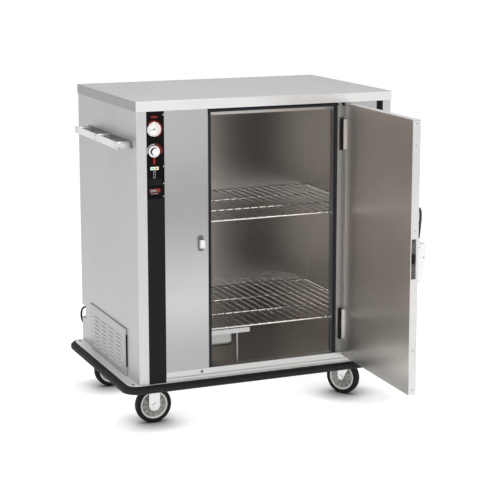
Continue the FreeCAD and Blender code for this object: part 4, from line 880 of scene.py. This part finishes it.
def make_dial():
    centre_z = joints["thermometer_needle_turn"]["pos_m"][2]
    printed("thermometer_face", lathe(DIAL_DISC, 96), WHITE, centre_z, 0)
    marks = bmesh.new()
    for number in range(DIAL_MARKS):
        angle = DIAL_SWEEP * number / (DIAL_MARKS - 1) - DIAL_SWEEP / 2
        turn = Matrix.Rotation(math.radians(-angle), 4, "Z")
        half_width, inner = LONG_MARK if number % 3 == 0 else SHORT_MARK
        add_block(marks, (-half_width, inner, 0.9), (half_width, MARKS_END, 1.0), turn)
    printed("thermometer_marks", marks, BLACK, centre_z, 0)
    band = annulus(14.8, 16.0, -60, 130, 0.1)
    band.transform(Matrix.Translation((0, 0, 1.0 * MM)))
    printed("thermometer_band", band, RED, centre_z, 0)
    printed("thermometer_surround", annulus(29.6, 33.6, -62, 200), RED, centre_z)


def make_knob_scale():
    centre_z = joints["thermostat_knob_turn"]["pos_m"][2]
    printed("thermostat_skirt", lathe(KNOB_SKIRT, 72), WHITE, centre_z, 0.2)
    printed("thermostat_collar", lathe(KNOB_COLLAR, 72), BLACK, centre_z, 0)
    printed("thermostat_arc_white", annulus(28.2, 30.4, 84, 112), PRINT_WHITE, centre_z)
    for number in range(ARC_COUNT):
        arc = annulus(28.6, 33.0, ARC_START - number * ARC_PITCH, -ARC_SWEEP)
        printed(f"thermostat_arc_red_{number}", arc, RED, centre_z)
    marks = bmesh.new()
    for number in range(KNOB_MARKS):
        angle = KNOB_SWEEP / 2 - KNOB_SWEEP * number / (KNOB_MARKS - 1)
        turn = Matrix.Rotation(math.radians(-angle), 4, "Z")
        add_block(marks, (-0.35, 18.0, 0.8), (0.35, 21.6, 0.9), turn)
    printed("thermostat_marks", marks, BLACK, centre_z, 0.2)


def make_panel_graphics():
    """Plain bars, lines and blocks that stand for the printed lettering and the badge."""
    printed("panel_red_bar", rectangles(RED_BAR, -0.2, 0.0), RED, RED_BAR_HEIGHT)
    printed("panel_thin_frame", rectangles(THIN_FRAME, -0.2, 0.0), PRINT_WHITE, THIN_FRAME_HEIGHT)
    plate = rectangles(PLATE, -0.2, 0.1)
    bevel_all(plate, 0.1)
    printed("panel_plate", plate, LABEL_BLACK, PLATE_HEIGHT)
    block = rectangles(PLATE_BLOCK, 0.0, 0.25)
    merge(block, rectangles(PLATE_EDGES, 0.0, 0.2))
    printed("panel_red_block", block, RED, PLATE_HEIGHT)
    badge = rectangles(BADGE, 0.0, 0.3)
    bevel_all(badge, 0.1)
    printed("panel_badge", badge, BADGE_RED, BADGE_HEIGHT)
    printed("panel_lines", rectangles(PLATE_LINES, -0.1, 0.2), PRINT_WHITE, PLATE_HEIGHT)


def make_switch_outline():
    """Faint moulded outline of the rocker's opening."""
    centre_z = joints["switch_rocker_tilt"]["pos_m"][2]
    printed("switch_outline", rectangles(SWITCH_FRAME, -0.1, 0.15), LABEL_GREY, centre_z)


# ---------------------------------------------------------------- door edge and latch details

# Screws on the door's edge: place along and through the door, height, radius and how far it stands proud.
EDGE_SCREWS = [(-DOOR_END, -27.3, height, 3.4, 0.4) for height in (1284, 1200, 871, 398, 240)]
LATCH_SCREWS = [(-DOOR_END + 3, -50, height, 2.4, 0.8) for height in (818, 803, 676)]
LATCH_SCREWS.append((-DOOR_END + 10, -72, 762, 3.6, 0.7))


def screw_head(radius, proud):
    """Round head with a cross recess, drawn about +Z with its seat at zero."""
    data = lathe([(0, 0), (radius, 0), (radius, proud * 0.5), (radius * 0.8, proud), (0, proud)], 24)
    half_length = radius * 0.55
    half_width = radius * 0.12
    for angle in (20, 110):
        bar = bmesh.new()
        turn = Matrix.Rotation(math.radians(angle), 4, "Z")
        add_block(bar, (-half_length, -half_width, proud), (half_length, half_width, proud * 1.05), turn)
        merge(data, bar)
    return data


def door_point(across, deep, height):
    """A place on the open door from its hinge axis: millimetres along and through it, and up."""
    hinge = Vector(joints["door_hinge"]["pos_m"])
    turn = Matrix.Rotation(math.radians(DOOR_OPEN), 3, "Z")
    place = turn @ Vector((across * MM, deep * MM, 0))
    return Vector((hinge.x + place.x, hinge.y + place.y, height * MM))


def make_door_screws():
    edge_normal = Matrix.Rotation(math.radians(DOOR_OPEN), 3, "Z") @ Vector((-1, 0, 0))
    for number, (across, deep, height, radius, proud) in enumerate(EDGE_SCREWS + LATCH_SCREWS):
        data = screw_head(radius, proud)
        data.transform(Matrix.Translation(door_point(across, deep, height)) @ facing(edge_normal))
        piece = finish_mesh(f"door_screw_{number}", data, SCREW_LIGHT, "door")


def make_indicator_lamps():
    low, high = (Vector(corner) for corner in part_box("indicator_lenses"))
    middle = (low.x + high.x) / 2
    gap = 0.5 * MM
    lamps = (("green", low.x, middle - gap, GREEN_LAMP), ("amber", middle + gap, high.x, AMBER_LAMP))
    for name, left, right, material in lamps:
        data = bmesh.new()
        add_block(data, Vector((left, low.y, low.z)) / MM, Vector((right, high.y, high.z)) / MM)
        bevel_all(data, 0.8, 3)
        piece = finish_mesh(f"indicator_{name}_lamp", data, material, "cabinet")
        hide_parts("indicator_lenses")


# ---------------------------------------------------------------- build

make_camera()
make_stage()
make_cord()
dress_cad_nodes()
paint_sheets()
paint_push_bars()
paint_fittings()
make_wheels()
make_shelf("upper_wire_shelf")
make_shelf("lower_wire_shelf")
make_bumper()
make_dial()
make_knob_scale()
make_panel_graphics()
make_switch_outline()
make_door_screws()
make_indicator_lamps()
